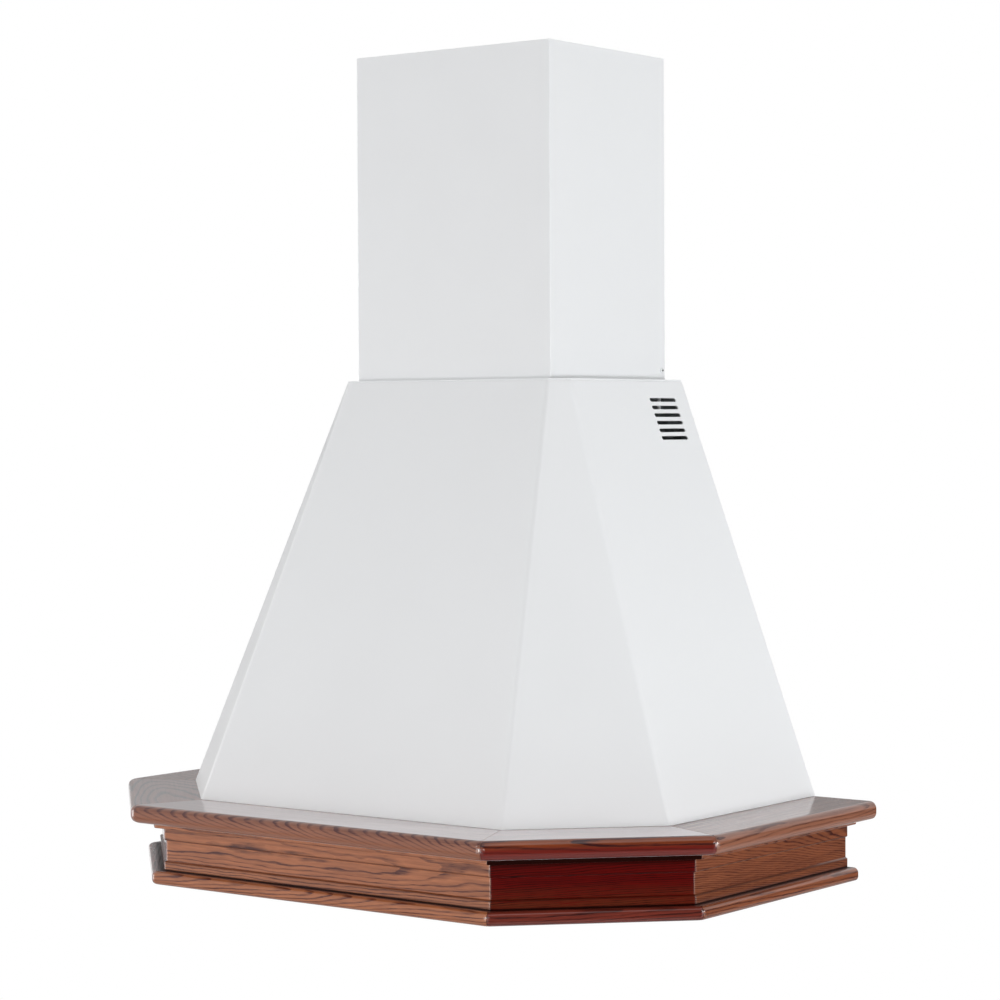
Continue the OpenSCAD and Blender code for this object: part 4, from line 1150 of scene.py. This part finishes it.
# %% Lay a screw on each
chimney_side = 145 * MM
for node in ("wood_screws", "sheet_screws"):
    laid = []
    for points in islands(node):
        seat, way, shank = seat_of(points)
        made = copied(screw, "laid_screw")
        with editing(made):
            pick(made, "VERT", lambda v: v.co.z < -STUB / 2)
            move((0, 0, STUB - shank))
        if abs(way.x) > 0.9 and abs(seat.x) > chimney_side:
            made.data.materials[0] = enamel
        made.rotation_euler = Vector((0, 0, 1)).rotation_difference(way).to_euler()
        made.location = seat
        settle(made)
        laid.append(made)
    print(node, len(laid))
    stands_for(join(node + "_turned", laid), node)
bpy.data.objects.remove(screw)

# %% [markdown]
# ## The other parts
#
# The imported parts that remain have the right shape, but their edges are perfectly sharp, and no real
# edge is. A copy of each part's mesh is merged, its flat faces are cleared of needless lines, and its
# edges get a small bevel that catches light. The copy then stands for the part.


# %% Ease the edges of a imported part
EASE, EASE_ANGLE = 0.4 * MM, math.radians(35)


def eased(node, finish):
    """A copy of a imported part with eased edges, which stands for it."""
    piece = packed_copy(node, node + "_eased")
    with editing(piece):
        merge()
        bpy.ops.mesh.dissolve_limited(angle_limit=math.radians(0.5))
    apply_modifier(piece, "BEVEL", width=EASE, segments=2, limit_method="ANGLE",
                   angle_limit=EASE_ANGLE, use_clamp_overlap=True)
    smooth(piece)
    return stands_for(paint(piece, finish), node)


# %% Ease all that is left
left_over = [n for n, part in frame["nodes"].items() if not part.hide_render]
for node in left_over:
    # The bolts behind the slots take the paler zinc, partly painted light
    eased(node, lightened_zinc if node == "top_plate_bolts" else FINISH_OF[SLOT_OF[node]])
print("eased parts:", len(left_over))

# %% [markdown]
# ## Studio
#
# The hood hangs in a white room. A broad lamp from above, a small one from the front left and large low
# ones on both sides give the white faces their gentle steps, and smaller ones reach the frieze, the
# corner board and the slots. Two more lamps show only in the gloss, for the bright glints on the
# mitres. Cards do the reverse: a glossy dark board shows what stands opposite, so a dark card keeps the
# corner boards deep in colour. The pale floor is far below, and it is see-through from underneath.

# %% Floor
FLOOR_GLOW = 0.75
bpy.ops.object.select_all(action="DESELECT")
bpy.ops.mesh.primitive_plane_add(size=7, location=(0, -0.3, -1.3))
floor = bpy.context.active_object
floor.name = "floor"
floor_paint = bpy.data.materials.new("floor_paint")
floor_paint.use_nodes = True
tree = floor_paint.node_tree
tree.nodes.clear()
matte = add(tree, "ShaderNodeBsdfDiffuse", {"Color": (0.8, 0.8, 0.8, 1)}).outputs[0]
glow = add(tree, "ShaderNodeEmission", {"Color": (1, 1, 1, 1), "Strength": 1.0}).outputs[0]
clear = add(tree, "ShaderNodeBsdfTransparent").outputs[0]
seen = add(tree, "ShaderNodeLightPath").outputs["Is Camera Ray"]
glowing = calc(tree, "MULTIPLY", seen, FLOOR_GLOW)
faced = add(tree, "ShaderNodeMixShader", {0: glowing, 1: matte, 2: glow}).outputs[0]
behind = add(tree, "ShaderNodeNewGeometry").outputs["Backfacing"]
both = add(tree, "ShaderNodeMixShader", {0: behind, 1: faced, 2: clear}).outputs[0]
add(tree, "ShaderNodeOutputMaterial", {"Surface": both})
paint(floor, floor_paint)

# %% White room
ROOM_LIGHT = 0.35
world = bpy.data.worlds.new("white_room")
bpy.context.scene.world = world
world.use_nodes = True
tree = world.node_tree
tree.nodes.clear()
path = add(tree, "ShaderNodeLightPath").outputs
shown = greatest(tree, path["Is Camera Ray"], path["Is Glossy Ray"], path["Is Transmission Ray"])
strength = spread(tree, shown, 0, 1, ROOM_LIGHT, 1.0)
background = add(tree, "ShaderNodeBackground", {"Color": (1, 1, 1, 1), "Strength": strength})
add(tree, "ShaderNodeOutputWorld", {"Surface": background.outputs[0]})


# %% Lamps
def soft_lamp(name, place, aim, size, power, colour=(1, 1, 1)):
    """A square area lamp that faces a point."""
    bpy.ops.object.light_add(type="AREA", location=place)
    lamp = bpy.context.active_object
    lamp.name = name
    lamp.data.shape = "SQUARE"
    lamp.data.size = size
    lamp.data.energy = power
    lamp.data.color = colour
    lamp.rotation_euler = (Vector(aim) - Vector(place)).to_track_quat("-Z", "Y").to_euler()
    return lamp


soft_lamp("top_lamp", (1.9, -1.7, 3.8), (0, -0.2, 0.4), 2.6, 15)
soft_lamp("key_lamp", (-1.0, -2.9, 2.0), (0, -0.3, 0.2), 0.4, 7)
soft_lamp("low_lamp", (-0.3, -2.7, 0.13), (0, -0.3, 0.13), 1.0, 11)
soft_lamp("corner_lamp", (1.7, -2.5, 0.16), (0, -0.3, 0.16), 0.5, 10)
soft_lamp("left_lamp", (-3.4, -1.6, 0.2), (0, -0.3, 0.2), 1.6, 35)
soft_lamp("right_lamp", (3.3, 0.45, 0.1), (0, -0.3, 0.3), 0.6, 40, (0.97, 0.99, 1.0))
soft_lamp("slot_lamp", (3.2, -0.7, 0.9), (0, -0.3, 0.1), 0.3, 8)
for name, place in (("front_gloss", (0.45, -3.1, 0.05)), ("right_gloss", (3.1, 0.1, 0.05))):
    soft_lamp(name, place, (0, -0.3, 0.1), 0.8, 30).visible_diffuse = False


# %% Cards
def card(name, width, low, high, place, grey):
    """An upright card that faces the hood. Only the hood's gloss shows it."""
    made = block(name, (-width / 2, -0.01, low), (width / 2, 0.01, high))
    made.rotation_euler.z = math.atan2(place[0], -place[1])
    made.location = (*place, 0)
    made.visible_camera = False
    made.visible_diffuse = False
    made.visible_shadow = False
    card_paint = new_finish(name + "_paint", Base_Color=(grey, grey, grey, 1), Roughness=1.0)[0]
    return paint(made, card_paint)


card("dark_card", 3.4, -1.1, 3.0, (2.6, -1.9), 0.005)
card("side_card", 2.6, -1.0, 0.45, (2.1, 2.7), 0.02)
card("grey_card", 2.8, -0.1, 0.9, (-1.5, 1.9), 0.46)
bpy.context.scene.view_settings.view_transform = "Standard"
